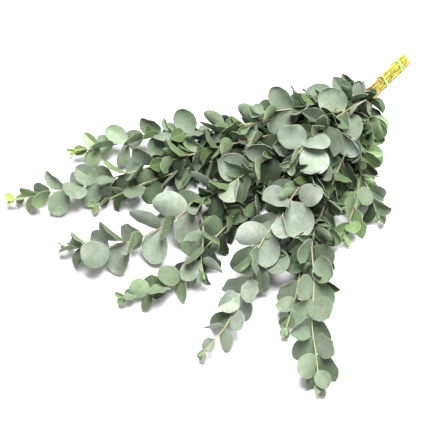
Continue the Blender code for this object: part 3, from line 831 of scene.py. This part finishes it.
# %% A coordinate that follows the bark, so that its streaks can run along it
def mark_bark(bark, number, stem, oldest):
    """Gives each corner (metres along, sine, cosine round), its age and whether it is on a ring.

    The age is 0 at the tip and oldest at the foot. The stem's number is added to the metres, so that no two
    stems share their streaks.
    """
    mesh = bark.data
    whole = length_of(stem["line"])
    runs = [0.0] * (3 * len(mesh.vertices))
    ages = [0.0] * len(mesh.vertices)
    rings = [0.0] * len(mesh.vertices)
    for loop in mesh.loops:
        share, turn = mesh.uv_layers[0].uv[loop.index].vector
        around = 2 * math.pi * turn
        first = 3 * loop.vertex_index
        runs[first:first + 3] = share * whole + number, math.sin(around), math.cos(around)
        ages[loop.vertex_index] = oldest * (1 - share)
        nearest = min(abs(share * whole - ring) for ring in stem["rings"])
        rings[loop.vertex_index] = float(nearest < RING_HALF_LENGTH / 2)
    mesh.attributes.new("bark_run", "FLOAT_VECTOR", "POINT").data.foreach_set("vector", runs)
    mesh.attributes.new("age", "FLOAT", "POINT").data.foreach_set("value", ages)
    mesh.attributes.new("ring", "FLOAT", "POINT").data.foreach_set("value", rings)


# %% Model every stem
OLDEST_SHOOT_BARK = 0.35

barks = {}
for number, (stem_name, stem) in enumerate(stems.items()):
    is_shoot = stem_name.endswith("_shoot")
    bark = model_stem(stem_name, stem, SHOOT_RADIUS if is_shoot else STEM_RADIUS, TIP_RADIUS)
    mark_bark(bark, number, stem, OLDEST_SHOOT_BARK if is_shoot else 1.0)
    barks[stem_name] = bark
print(len(barks), "stems,", sum(len(bark.data.polygons) for bark in barks.values()), "faces")

# %% [markdown]
# Leaves on their stems
#
# A copy of a master gets its own mesh, and its corners are laid along the leaf's own rib: stretched to its
# length and width, curled, twisted a little, and lifted where it would dip below the surface that the bunch
# lies on.
# Each copy also carries a colour with facts for its finish: how old it is, how silvery its branch is, a bit
# of luck that sets it off from its neighbours, and how much it is covered. The cover is painted shade: a
# leaf under others is darkened and keeps little of its pale bloom. An age goes from 0, fresh yellow-green,
# to 1, dark green.

# %% How silvery each branch is, and how old its leaves are
SILVER = {
    "sprig_top": 0.9, "sprig_right": 0.75, "sprig_centre": 1.0, "branch_centre": 0.85,
    "branch_right_upper": 0.6, "branch_right_long": 0.7, "branch_left_outer": 0.6,
    "branch_left_middle": 1.0, "branch_right_lower": 0.6, "branch_centre_lower": 0.4,
    "branch_left_inner": 0.65, "branch_left_edge": 0.1, "branch_under_right": 0.3,
    "branch_under_left": 0.3,
}
HEAP_SILVER = 0.35
OLDEST = {"branch_left_edge": 0.5, "branch_under_left": 0.55}
FRESH_TIPS = ("branch_right_upper", "branch_right_long")
TIP_AGE = 0.42
print(max(SILVER, key=SILVER.get), "is the most silvery")

# %% How much of each leaf is covered by others
# The leaves whose middles are above its own and close beside it are counted, and 6 of them hide it wholly.
# The leaves' finish darkens each leaf and thins its bloom by this cover, as painted shade. Leaves of open
# branches, and of branches in OLDEST, keep only OPEN_SHARE of it.
OPEN_SHARE = 0.15
COVER_REACH = 0.024
COVER_HEIGHT = 0.003
COVER_ENOUGH = 6
HIDDEN_FROM = 0.4

every_leaf = [(leaf, name) for name in BRANCHES for leaf in leaves[name] + heap[name]]
middles = [leaf["root"] + leaf["rib"] * leaf["length"] / 2 for leaf, name in every_leaf]
for (leaf, name), middle in zip(every_leaf, middles):
    above = 0
    for other in middles:
        offset = other - middle
        above += offset.z > COVER_HEIGHT and offset.xy.length < COVER_REACH
    leaf["covered"] = min(1.0, above / COVER_ENOUGH)
    if "open" in BRANCHES[name] or name in OLDEST:
        leaf["covered"] *= OPEN_SHARE
print(sum(leaf["covered"] == 1 for leaf, name in every_leaf), "of", len(every_leaf), "leaves lie deep")

# %% Copy a blade to a leaf's place
# Twist is the largest turn at a blade's tip, in radians.
YOUNG_BLADE = 0.020
FLOOR_CLEARANCE = 0.0004
BARK_DEPTH = 0.0004
TWIST = 0.55
FORM_GROWTH = 3


def lay_blade(leaf, kind, age, silver, luck, covered=0.0):
    """A copy of one kind of master, laid along a leaf's rib. It takes on its own form away from the stalk."""
    mesh = MASTERS[kind].data.copy()
    rib, face = leaf["rib"], leaf["face"]
    side = face.cross(rib)
    scale = leaf["length"] / MASTER_LENGTH
    for corner in mesh.vertices:
        along_rib = corner.co.x * scale
        across = corner.co.y * leaf["width"] / MASTER_WIDTH
        share = along_rib / leaf["length"]
        height = corner.co.z * scale * min(1.0, FORM_GROWTH * share)
        turn = leaf["twist"] * share
        place = leaf["foot"] + rib * (along_rib + BARK_DEPTH)
        place += face * leaf["length"] * leaf["curl"] * share**2
        place += side * (across * math.cos(turn) - height * math.sin(turn))
        place += face * (across * math.sin(turn) + height * math.cos(turn))
        corner.co = (place.x, place.y, max(place.z, FLOOR_CLEARANCE))
    facts = mesh.color_attributes.new("facts", "FLOAT_COLOR", "POINT")
    for datum in facts.data:
        datum.color = (age, silver, luck, covered)
    return add_object("blade", mesh)


# %% Lay the leaves of every branch
blades = {}
for name, found in leaves.items():
    luck = random.Random(BRANCHES[name]["seed"])
    oldest = OLDEST.get(name, 1.0)
    laid = []
    for leaf in found + heap[name]:
        leaf["twist"] = luck.uniform(-TWIST, TWIST)
    for leaf in found:
        grown_kinds = HIDDEN_KINDS if leaf["covered"] > HIDDEN_FROM else OPEN_KINDS
        kind = "young" if leaf["length"] < YOUNG_BLADE else luck.choice(grown_kinds)
        youngest = 0.0 if name in FRESH_TIPS else TIP_AGE
        age = min(oldest, youngest + (1 - leaf["share"]) / BRANCHES[name]["young"] / 2)
        laid.append(lay_blade(leaf, kind, age, SILVER[name], luck.random(), leaf["covered"]))
    for leaf in heap[name]:
        kind = luck.choice(HIDDEN_KINDS)
        laid.append(lay_blade(leaf, kind, oldest, HEAP_SILVER, luck.random(), leaf["covered"]))
    blades[name] = laid
print(sum(len(laid) for laid in blades.values()), "blades laid")

# %% Thicken a branch's blades in one go
BLADE_THICKNESS = 0.0005
RIM_ANGLE = math.radians(50)


def join(things, name):
    """Makes one piece of several objects."""
    select_only(things[0])
    for thing in things:
        thing.select_set(True)
    bpy.ops.object.join()
    things[0].name = name
    things[0].data.name = name
    return things[0]


def thicken(foliage_piece, thickness):
    """Gives thin sheets a thickness, their lower side the second finish, and rounded shading."""
    select_only(foliage_piece)
    bpy.ops.object.modifier_add(type="SOLIDIFY")
    modifier = foliage_piece.modifiers[-1]
    modifier.thickness = thickness
    modifier.offset = 0
    modifier.material_offset = 1
    bpy.ops.object.modifier_apply(modifier=modifier.name)
    bpy.ops.object.shade_smooth_by_angle(angle=RIM_ANGLE)


# %% [markdown]
# Buds at the tips
#
# A growing tip ends in a bud of tiny folded leaves, each pair inside the one before. They are the young
# master again, only a few millimetres long and nearly closed round the stem's direction.

# %% Two closing pairs on every tip
BUD_PAIRS = ((0.009, math.radians(34), 0), (0.006, math.radians(16), math.radians(90)))
BUD_WIDTH_SHARE = 0.5
BUD_CURL = 0.08
BUD_SILVER = 0.2
BUD_LUCK = 0.5

for stem_name, stem in stems.items():
    name = stem_name.removesuffix("_shoot")
    tip, direction = along(stem["line"], length_of(stem["line"]))
    for length, opening, turn in BUD_PAIRS:
        for azimuth in (turn, turn + math.pi):
            rib, face = aim_leaf(direction, azimuth, opening, 0.0, 0.0)
            bud = {
                "foot": tip - direction * BARK_DEPTH, "rib": rib, "face": face,
                "length": length, "width": length * BUD_WIDTH_SHARE, "curl": BUD_CURL, "twist": 0.0,
            }
            age = 0.0 if name in FRESH_TIPS else TIP_AGE
            blades[name].append(lay_blade(bud, "young", age, BUD_SILVER, BUD_LUCK))
print(len(stems), "tips with", len(BUD_PAIRS), "pairs each")

# %% [markdown]
# Waxy leaves
#
# The upper side of a grown leaf is sage green under a pale bloom of wax, which lies in soft clouds, warmer in
# patches. On leaves under others the bloom is thinned and the colour darkened, as painted shade. Young
# leaves are yellow-green and almost bare of it.
# The underside is greener, and its midrib and veins stand out more.
# The colours could be painted on an image, but values worked out from the leaf's age, its map and some noise
# stay sharp at any distance and differ from leaf to leaf. One function makes both sides, so that they share
# the veins' pattern.

# %% Helpers for finishes
def new_finish(name, **plain):
    """A material whose shader has these plain values. An underscore in a name stands for a space."""
    material = bpy.data.materials.new(name)
    material.use_nodes = True
    shader = material.node_tree.nodes["Principled BSDF"]
    for socket, value in plain.items():
        shader.inputs[socket.replace("_", " ")].default_value = value
    return material


def node(material, kind, inputs=None, **settings):
    """A new node. An input is either a plain value or the socket that feeds it."""
    made = material.node_tree.nodes.new(kind)
    for key, value in settings.items():
        setattr(made, key, value)
    for key, value in (inputs or {}).items():
        if isinstance(value, bpy.types.NodeSocket):
            material.node_tree.links.new(value, made.inputs[key])
        else:
            made.inputs[key].default_value = value
    return made


def feed(material, socket, value):
    """Lets a node's output drive one of the shader's inputs."""
    shader = material.node_tree.nodes["Principled BSDF"]
    material.node_tree.links.new(value, shader.inputs[socket])


def attribute(material, name, output="Fac"):
    """A value that the mesh carries on its corners."""
    return node(material, "ShaderNodeAttribute", attribute_name=name).outputs[output]


def on_piece(material):
    """The place on the piece, in metres."""
    return node(material, "ShaderNodeTexCoord").outputs["Object"]


def stretch(material, place, scale):
    return node(material, "ShaderNodeMapping", {"Vector": place, "Scale": scale}).outputs["Vector"]


def maths(material, operation, first, second=0.0):
    return node(material, "ShaderNodeMath", {0: first, 1: second}, operation=operation).outputs[0]


def product(material, first, second):
    return maths(material, "MULTIPLY", first, second)


def spread(material, value, low, high, to_low=0.0, to_high=1.0):
    """Stretches the values from low to high onto the values from to_low to to_high."""
    inputs = {"Value": value, "From Min": low, "From Max": high, "To Min": to_low, "To Max": to_high}
    return node(material, "ShaderNodeMapRange", inputs, interpolation_type="SMOOTHSTEP").outputs[0]


def blend(material, share, first, second, kind="MIX"):
    """A colour between two others."""
    made = node(material, "ShaderNodeMix", data_type="RGBA", blend_type=kind)
    for key, value in {"Factor": share, "A": first, "B": second}.items():
        sockets = [s for s in made.inputs if s.name == key and s.enabled]
        if isinstance(value, bpy.types.NodeSocket):
            material.node_tree.links.new(value, sockets[0])
        else:
            sockets[0].default_value = value
    return [s for s in made.outputs if s.enabled][0]


def ramp(material, value, stops):
    """Colours that follow one another as a value goes from 0 to 1."""
    made = node(material, "ShaderNodeValToRGB", {"Fac": value})
    elements = made.color_ramp.elements
    while len(elements) < len(stops):
        elements.new(1.0)
    for element, (position, colour) in zip(elements, stops):
        element.position = position
        element.color = colour
    return made.outputs["Color"]


def noise(material, place, scale, detail=2.0, roughness=0.5):
    """Soft random values round 0.5, about as many blotches to the metre as scale says."""
    inputs = {"Vector": place, "Scale": scale, "Detail": detail, "Roughness": roughness}
    return node(material, "ShaderNodeTexNoise", inputs).outputs["Fac"]


def dent(material, height, distance, strength):
    """Bends the light as if the surface rose and fell by a distance in metres."""
    inputs = {"Height": height, "Distance": distance, "Strength": strength}
    feed(material, "Normal", node(material, "ShaderNodeBump", inputs).outputs["Normal"])


# %% The veins' pattern on a blade
VEINS_ALONG = 8
VEIN_SLANT = 0.7


def veins(material):
    """(midrib, side veins), each 1 on the line and 0 off it."""
    uv = node(material, "ShaderNodeUVMap", uv_map="blade").outputs["UV"]
    split = node(material, "ShaderNodeSeparateXYZ", {"Vector": uv})
    along_rib, across = split.outputs["X"], maths(material, "ABSOLUTE", split.outputs["Y"])
    midrib = spread(material, across, 0.004, 0.018, 1.0, 0.0)
    phase = maths(material, "SUBTRACT", along_rib, product(material, across, VEIN_SLANT))
    wave = maths(material, "SINE", product(material, phase, 2 * math.pi * VEINS_ALONG))
    return midrib, spread(material, wave, 0.90, 1.0)


# %% One side of the leaves
# The scales say how many blotches of a kind there are to the metre.
# Painted shade: a wholly covered leaf keeps these shares of its brightness and of its bloom.
SHADE_GREEN = 0.16
SHADE_BLOOM = 0.15
CLOUD_SCALE = 55
BLUSH_SCALE = 24
MOTTLE_SCALE = 210
GRAIN_SCALE = 900
SIDE_VEIN_SHARE = 0.4


def leaf_finish(name, colours, bloom, blushing, bloom_share, vein_colour, vein_share, rim_colour):
    """The finish of one side: green by age, bloom in clouds with blushing spots, veins, a pale rim, and
    painted shade on covered leaves.
    """
    material = new_finish(name, Specular_IOR_Level=0.35, Sheen_Weight=0.08, Sheen_Roughness=0.5)
    place = on_piece(material)
    facts = node(material, "ShaderNodeAttribute", attribute_name="facts").outputs
    age, silver, luck = node(material, "ShaderNodeSeparateColor", {"Color": facts["Color"]}).outputs
    covered = facts["Alpha"]
    rim = attribute(material, "rim")
    midrib, side_veins = veins(material)

    colour = ramp(material, age, colours)
    clouds = spread(material, noise(material, place, CLOUD_SCALE, 3), 0.30, 0.70, 0.6, 1.0)
    grown = spread(material, age, 0.0, 0.45)
    waxed = product(material, product(material, clouds, silver), grown)
    # Painted shade: the pale bloom is thinned on leaves under others.
    painted_shade_bloom = spread(material, covered, 0.0, 1.0, bloom_share, SHADE_BLOOM * bloom_share)
    waxed = product(material, waxed, painted_shade_bloom)
    blush = spread(material, noise(material, place, BLUSH_SCALE, 2), 0.45, 0.65, 0.0, 0.55)
    colour = blend(material, waxed, colour, blend(material, blush, bloom, blushing))
    colour = blend(material, product(material, side_veins, vein_share * SIDE_VEIN_SHARE), colour, vein_colour)
    colour = blend(material, product(material, midrib, vein_share), colour, vein_colour)
    edge = spread(material, rim, 0.90, 1.0, 0.0, 0.5)
    colour = blend(material, edge, colour, rim_colour)

    # Painted shade: leaves under others are darkened.
    shaded = spread(material, covered, 0.0, 1.0, 1.0, SHADE_GREEN)
    mottled = spread(material, noise(material, place, MOTTLE_SCALE, 4, 0.65), 0.35, 0.65, 0.90, 1.10)
    bright = product(material, spread(material, luck, 0.0, 1.0, 0.80, 1.18), shaded)
    bright = product(material, bright, mottled)
    colour = node(material, "ShaderNodeHueSaturation", {"Value": bright, "Color": colour}).outputs["Color"]
    feed(material, "Base Color", colour)

    grain = noise(material, place, GRAIN_SCALE, 2)
    feed(material, "Roughness", spread(material, maths(material, "ADD", waxed, grain), 0.2, 1.6, 0.42, 0.68))
    relief = maths(material, "SUBTRACT", product(material, grain, 0.25), midrib)
    relief = maths(material, "SUBTRACT", relief, product(material, side_veins, 0.35))
    dent(material, relief, distance=0.0003, strength=0.35)
    return material


# %% Both sides of the leaves
upper_finish = leaf_finish(
    "waxy_upper_side",
    colours=(
        (0.0, (0.36, 0.50, 0.11, 1)), (0.25, (0.22, 0.33, 0.11, 1)),
        (0.55, (0.13, 0.22, 0.075, 1)), (1.0, (0.08, 0.155, 0.045, 1)),
    ),
    bloom=(0.270, 0.305, 0.265, 1), blushing=(0.31, 0.285, 0.25, 1), bloom_share=1.0,
    vein_colour=(0.36, 0.42, 0.28, 1), vein_share=0.16, rim_colour=(0.40, 0.43, 0.28, 1),
)
under_finish = leaf_finish(
    "green_underside",
    colours=(
        (0.0, (0.32, 0.46, 0.09, 1)), (0.25, (0.19, 0.29, 0.09, 1)),
        (0.55, (0.12, 0.20, 0.06, 1)), (1.0, (0.07, 0.13, 0.03, 1)),
    ),
    bloom=(0.26, 0.30, 0.24, 1), blushing=(0.28, 0.26, 0.20, 1), bloom_share=0.45,
    vein_colour=(0.38, 0.46, 0.22, 1), vein_share=0.6, rim_colour=(0.36, 0.42, 0.22, 1),
)
for finish in (upper_finish, under_finish):
    print(finish.name, "has", len(finish.node_tree.nodes), "nodes")

# %% Finish every branch's blades
for name, laid in blades.items():
    piece = join(laid, name + "_leaves")
    piece.data.materials.append(upper_finish)
    piece.data.materials.append(under_finish)
    thicken(piece, BLADE_THICKNESS)
    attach(piece, "root")
    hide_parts(name)
    print(piece.name, len(piece.data.polygons), "faces")
for master in MASTERS.values():
    bpy.data.objects.remove(master)

# %% [markdown]
# Bark
#
# Inside the bands the stems are bright yellow with orange-brown streaks. Further out the bark is pinkish
# tan under a pale bloom, and it turns yellow-green at the growing tips.
# The streaks run along the stem, so they read the bark's own coordinate, stretched lengthwise. Streaks and
# scars are strongest on old bark, and the bloom on young bark.

# %% The bark's finish
bark_finish = new_finish("streaked_bark", Roughness=0.5, Specular_IOR_Level=0.4)
bark_run = attribute(bark_finish, "bark_run", "Vector")
bark_age = attribute(bark_finish, "age")
on_ring = attribute(bark_finish, "ring")
streaks = noise(bark_finish, stretch(bark_finish, bark_run, (60, 1.3, 1.3)), 1.0, 3, 0.6)
speckle = noise(bark_finish, bark_run, 240, 2)
bark_colour = ramp(bark_finish, bark_age, (
    (0.0, (0.30, 0.36, 0.13, 1)), (0.10, (0.34, 0.31, 0.16, 1)), (0.25, (0.28, 0.19, 0.14, 1)),
    (0.62, (0.25, 0.18, 0.12, 1)), (0.78, (0.42, 0.38, 0.08, 1)), (1.0, (0.56, 0.54, 0.07, 1)),
))
own_tone = noise(bark_finish, stretch(bark_finish, bark_run, (7, 0, 0)), 1.0, 1)
greenness = spread(bark_finish, own_tone, 0.40, 0.62, 0.0, 0.45)
bark_colour = blend(bark_finish, greenness, bark_colour, (0.30, 0.40, 0.05, 1))


def mark_by_age(colour, share, ages, shares, over):
    """Lays one more colour over the bark, with a strength that goes with the bark's age."""
    strength = product(bark_finish, share, spread(bark_finish, bark_age, *ages, *shares))
    return blend(bark_finish, strength, colour, over)


streaked = spread(bark_finish, streaks, 0.50, 0.57)
waxed = spread(bark_finish, speckle, 0.35, 0.7)
scarred = spread(bark_finish, on_ring, 0.35, 1.0)
bark_colour = mark_by_age(bark_colour, streaked, (0.1, 0.9), (0.35, 0.9), (0.24, 0.11, 0.03, 1))
bark_colour = mark_by_age(bark_colour, waxed, (0.15, 0.75), (0.55, 0.0), (0.46, 0.42, 0.39, 1))
bark_colour = mark_by_age(bark_colour, scarred, (0.3, 0.85), (0.25, 0.9), (0.13, 0.07, 0.025, 1))
feed(bark_finish, "Base Color", bark_colour)
dent(bark_finish, streaks, distance=0.0003, strength=0.5)
print(bark_finish.name, "has", len(bark_finish.node_tree.nodes), "nodes")

# %% Finish every stem
for bark in barks.values():
    bark.data.materials.clear()
    bark.data.materials.append(bark_finish)
for name in BRANCHES:
    parts = [bark for stem_name, bark in barks.items() if stem_name.removesuffix("_shoot") == name]
    piece = join(parts, name + "_stem")
    bpy.ops.object.shade_smooth_by_angle(angle=RIM_ANGLE)
    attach(piece, "root")
    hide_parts(name)
    print(piece.name, len(piece.data.polygons), "faces")

# %% [markdown]
# Fresh cuts
#
# The bunch was trimmed with shears, so every stem ends in a slanted cut: a thin ring of bark, pinkish wood,
# and a soft paler pith that has sunk a little.
# A short cylinder is cut and hollowed once, and copied to each stem with its own turn.

# %% One cut end to copy
END_DEPTH = 0.0016
END_RADIUS = 1.05 * STEM_RADIUS
END_SLANT = math.radians(18)
END_BEVEL = 0.00018
WOOD_INSET = 0.45 * END_RADIUS
PITH_INSET = 0.10 * END_RADIUS
PITH_DEPTH = 0.00025

select_only()
bpy.ops.mesh.primitive_cylinder_add(vertices=16, radius=END_RADIUS, depth=END_DEPTH)
cut_end = bpy.context.object
cut_end.name = "cut_end"
bpy.ops.object.mode_set(mode="EDIT")
choose(lambda corner: corner.co.z > 0)
bpy.ops.transform.rotate(value=END_SLANT, orient_axis="Y", center_override=(0, 0, END_DEPTH / 2))
bpy.ops.mesh.bevel(offset=END_BEVEL, segments=2)
bpy.ops.object.mode_set(mode="OBJECT")
print("cut end:", len(cut_end.data.polygons), "faces")

# %% Sink the pith, and map the cut face from its middle
bpy.ops.object.mode_set(mode="EDIT")
bpy.ops.mesh.select_all(action="DESELECT")
bpy.ops.mesh.select_mode(type="FACE")
shape = bmesh.from_edit_mesh(cut_end.data)
top = max(shape.faces, key=lambda face: face.calc_center_median().z)
top.select_set(True)
bmesh.update_edit_mesh(cut_end.data)
bpy.ops.mesh.inset(thickness=WOOD_INSET)
bpy.ops.mesh.inset(thickness=PITH_INSET, depth=-PITH_DEPTH)
bpy.ops.mesh.select_mode(type="VERT")
bpy.ops.object.mode_set(mode="OBJECT")
uv = cut_end.data.uv_layers.active
for loop in cut_end.data.loops:
    x, y, z = cut_end.data.vertices[loop.vertex_index].co
    uv.uv[loop.index].vector = (x / END_RADIUS, y / END_RADIUS)
print("with its pith:", len(cut_end.data.polygons), "faces")

# %% The cut's finish: pith, wood and bark from the middle out
cut_finish = new_finish("fresh_cut", Roughness=0.7, Specular_IOR_Level=0.3)
cut_uv = node(cut_finish, "ShaderNodeUVMap", uv_map=uv.name).outputs["UV"]
from_middle = node(cut_finish, "ShaderNodeVectorMath", {0: cut_uv}, operation="LENGTH").outputs["Value"]
grain = noise(cut_finish, on_piece(cut_finish), 3500, 2)
ring = maths(cut_finish, "ADD", from_middle, spread(cut_finish, grain, 0.0, 1.0, -0.08, 0.08))
feed(cut_finish, "Base Color", ramp(cut_finish, ring, (
    (0.0, (0.66, 0.56, 0.34, 1)), (0.36, (0.62, 0.48, 0.26, 1)), (0.42, (0.68, 0.38, 0.22, 1)),
    (0.78, (0.60, 0.32, 0.18, 1)), (0.88, (0.34, 0.30, 0.08, 1)),
)))
dent(cut_finish, grain, distance=0.0002, strength=0.6)
print(cut_finish.name, "has", len(cut_finish.node_tree.nodes), "nodes")
cut_end.data.materials.append(cut_finish)

# %% Set a cut on every stem
ends = []
for name, branch in BRANCHES.items():
    cut, direction = along(stems[name]["line"], 0.0)
    copy = add_object("end", cut_end.data.copy())
    turn = Matrix.Rotation(branch["seed"], 4, "X") @ Matrix.Rotation(-math.pi / 2, 4, "Y")
    copy.data.transform(Matrix.Translation(cut) @ turn)
    ends.append(copy)
bpy.data.objects.remove(cut_end)
cut_ends = join(ends, "cut_ends")
bpy.ops.object.shade_smooth_by_angle(angle=RIM_ANGLE)
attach(cut_ends, "root")
print(len(ends), "cut ends,", len(cut_ends.data.polygons), "faces")

# %% [markdown]
# Rubber bands
#
# Each band is one rubber loop wound round the bundle, so that its turns lie across one another. Stretched
# rubber follows the outermost stems tightly and spans the dips between them.
# That is the convex outline of the stems' circles. A flat curve along it, with some width and a rounded
# edge, is a turn of the band, and leaning it along the bundle makes the turns cross.

# %% The outline of the bundle at a distance from its bark
CORNERS_ROUND_A_STEM = 24


def band_outline(away):
    """The (y, z) corners of a tight loop round the bundle, some distance off its bark."""
    corners = []
    for branch in BRANCHES.values():
        y, z = slot_place(branch["slot"])
        for number in range(CORNERS_ROUND_A_STEM):
            angle = 2 * math.pi * number / CORNERS_ROUND_A_STEM
            reach = STEM_RADIUS + away
            corners.append(Vector((y + reach * math.cos(angle), z + reach * math.sin(angle))))
    return [corners[number] for number in convex_hull_2d(corners)]


# %% One turn of a band
# Where two turns cross, near the middle, one is lifted over the other.
EDGE_ROUNDING = 3
CROSSING_HALF_WIDTH = 0.0065


def model_turn(name, x, slant, lift):
    """A turn that leans along the bundle by slant for each step across, lifted where it crosses another."""
    curve = bpy.data.curves.new(name, "CURVE")
    curve.dimensions = "2D"
    curve.fill_mode = "NONE"
    curve.bevel_depth = TIE_THICKNESS / 2
    curve.bevel_resolution = EDGE_ROUNDING
    curve.extrude = (TIE_WIDTH - TIE_THICKNESS) / 2
    outline = band_outline(TIE_GAP + TIE_THICKNESS / 2)
    spline = curve.splines.new("POLY")
    spline.use_cyclic_u = True
    spline.points.add(len(outline) - 1)
    for point, (y, z) in zip(spline.points, outline):
        point.co = (y, z, 0, 1)
    turn = add_object(name, curve)
    select_only(turn)
    bpy.ops.object.convert(target="MESH")
    middle = sum(z for y, z in outline) / len(outline)
    for corner in turn.data.vertices:
        y, z, x_in_band = corner.co
        crossing = max(0.0, 1 - abs(y) / CROSSING_HALF_WIDTH)
        up = lift * math.copysign(min(1.0, 2 * crossing), z - middle)
        corner.co = (x + slant * y + x_in_band, y, z + up)
    return turn


# %% The rubber's finish
rubber_finish = new_finish("green_rubber", Roughness=0.42, Specular_IOR_Level=0.45)
rubber_place = on_piece(rubber_finish)
lines = noise(rubber_finish, stretch(rubber_finish, rubber_place, (2600, 120, 120)), 1.0, 2)
worn = noise(rubber_finish, rubber_place, 260, 3)
rubber_colour = ramp(rubber_finish, worn, (
    (0.35, (0.30, 0.56, 0.16, 1)), (0.60, (0.42, 0.66, 0.22, 1)), (0.80, (0.55, 0.72, 0.36, 1)),
))
feed(rubber_finish, "Base Color", rubber_colour)
feed(rubber_finish, "Roughness", spread(rubber_finish, worn, 0.3, 0.7, 0.36, 0.55))
dent(rubber_finish, lines, distance=0.0002, strength=0.5)
print(rubber_finish.name, "has", len(rubber_finish.node_tree.nodes), "nodes")

# %% Wind both bands
INNER_TURNS = ((0.16, 0.0), (0.0, TIE_THICKNESS))
OUTER_TURNS = ((0.30, 0.0), (-0.30, TIE_THICKNESS))

for name, x, turns in (("tie_inner", INNER_TIE_X, INNER_TURNS), ("tie_outer", OUTER_TIE_X, OUTER_TURNS)):
    made = [model_turn(f"{name}_turn", x, slant, lift) for slant, lift in turns]
    band = join(made, name + "_band")
    band.data.materials.clear()
    band.data.materials.append(rubber_finish)
    bpy.ops.object.shade_smooth_by_angle(angle=RIM_ANGLE)
    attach(band, "root")
    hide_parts(name)
    print(band.name, len(band.data.polygons), "faces")

# %% [markdown]
# A white table, soft light and the camera
#
# The bunch lies on plain white, lit so softly that its shadows are faint and have no edges. A wide lamp
# overhead and a bright world do that, and a weaker lamp from one side keeps the leaves' forms.

# %% The surface it lies on
TABLE_SIZE = 8

select_only()
bpy.ops.mesh.primitive_plane_add(size=TABLE_SIZE)
table = bpy.context.object
table.name = "white_table"
table.data.materials.append(new_finish("white_paint", Base_Color=(0.91, 0.885, 0.925, 1), Roughness=0.9))
table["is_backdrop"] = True
print(table.name, "is", TABLE_SIZE, "m wide")

# %% The lamps
def add_lamp(name, place, aim, size, power):
    """A square lamp that shines from a place at a point, with its side in metres and its power in watts."""
    lamp = bpy.data.lights.new(name, "AREA")
    lamp.size = size
    lamp.energy = power
    thing = add_object(name, lamp)
    thing.location = place
    thing.rotation_euler = (Vector(place) - aim).to_track_quat("Z", "Y").to_euler()


AIM = Vector((0.30, 0.0, 0.04))
add_lamp("softbox_overhead", (0.25, -0.02, 1.9), AIM, size=0.9, power=94)
add_lamp("softbox_side", (-0.9, 0.9, 1.1), AIM, size=1.0, power=6)
print(len(bpy.data.lights), "lamps")

# %% The white room
WORLD_STRENGTH = 0.40

world = bpy.data.worlds.new("white_room")
world.use_nodes = True
background = world.node_tree.nodes["Background"]
background.inputs["Color"].default_value = (0.98, 0.98, 1.0, 1)
background.inputs["Strength"].default_value = WORLD_STRENGTH
bpy.context.scene.world = world
bpy.context.scene.view_settings.view_transform = "Standard"

# %% The camera at the photograph's angle
# Azimuth 0 looks along +Y, and an elevation of 90 degrees looks straight down.
CAMERA_TARGET = Vector((0.3653, -0.0332, 0.03))
CAMERA_AZIMUTH = math.radians(132)
CAMERA_ELEVATION = math.radians(60)
CAMERA_DISTANCE = 1.50
CAMERA_LENS = 89

back = Vector((
    math.sin(CAMERA_AZIMUTH) * math.cos(CAMERA_ELEVATION),
    -math.cos(CAMERA_AZIMUTH) * math.cos(CAMERA_ELEVATION),
    math.sin(CAMERA_ELEVATION),
))
camera = add_object("camera", bpy.data.cameras.new("camera"))
camera.location = CAMERA_TARGET + CAMERA_DISTANCE * back
camera.rotation_euler = back.to_track_quat("Z", "Y").to_euler()
camera.data.lens = CAMERA_LENS
bpy.context.scene.camera = camera
print("the camera stands at", [round(value, 3) for value in camera.location])

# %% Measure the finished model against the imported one, and finish
bpy.context.view_layer.update()
visual_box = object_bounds()
for axis, letter in enumerate("xyz"):
    lower = 1000 * (cad_box[0][axis] - visual_box[0][axis])
    upper = 1000 * (visual_box[1][axis] - cad_box[1][axis])
    print(letter, "stands proud by", round(lower, 1), "and", round(upper, 1), "mm")
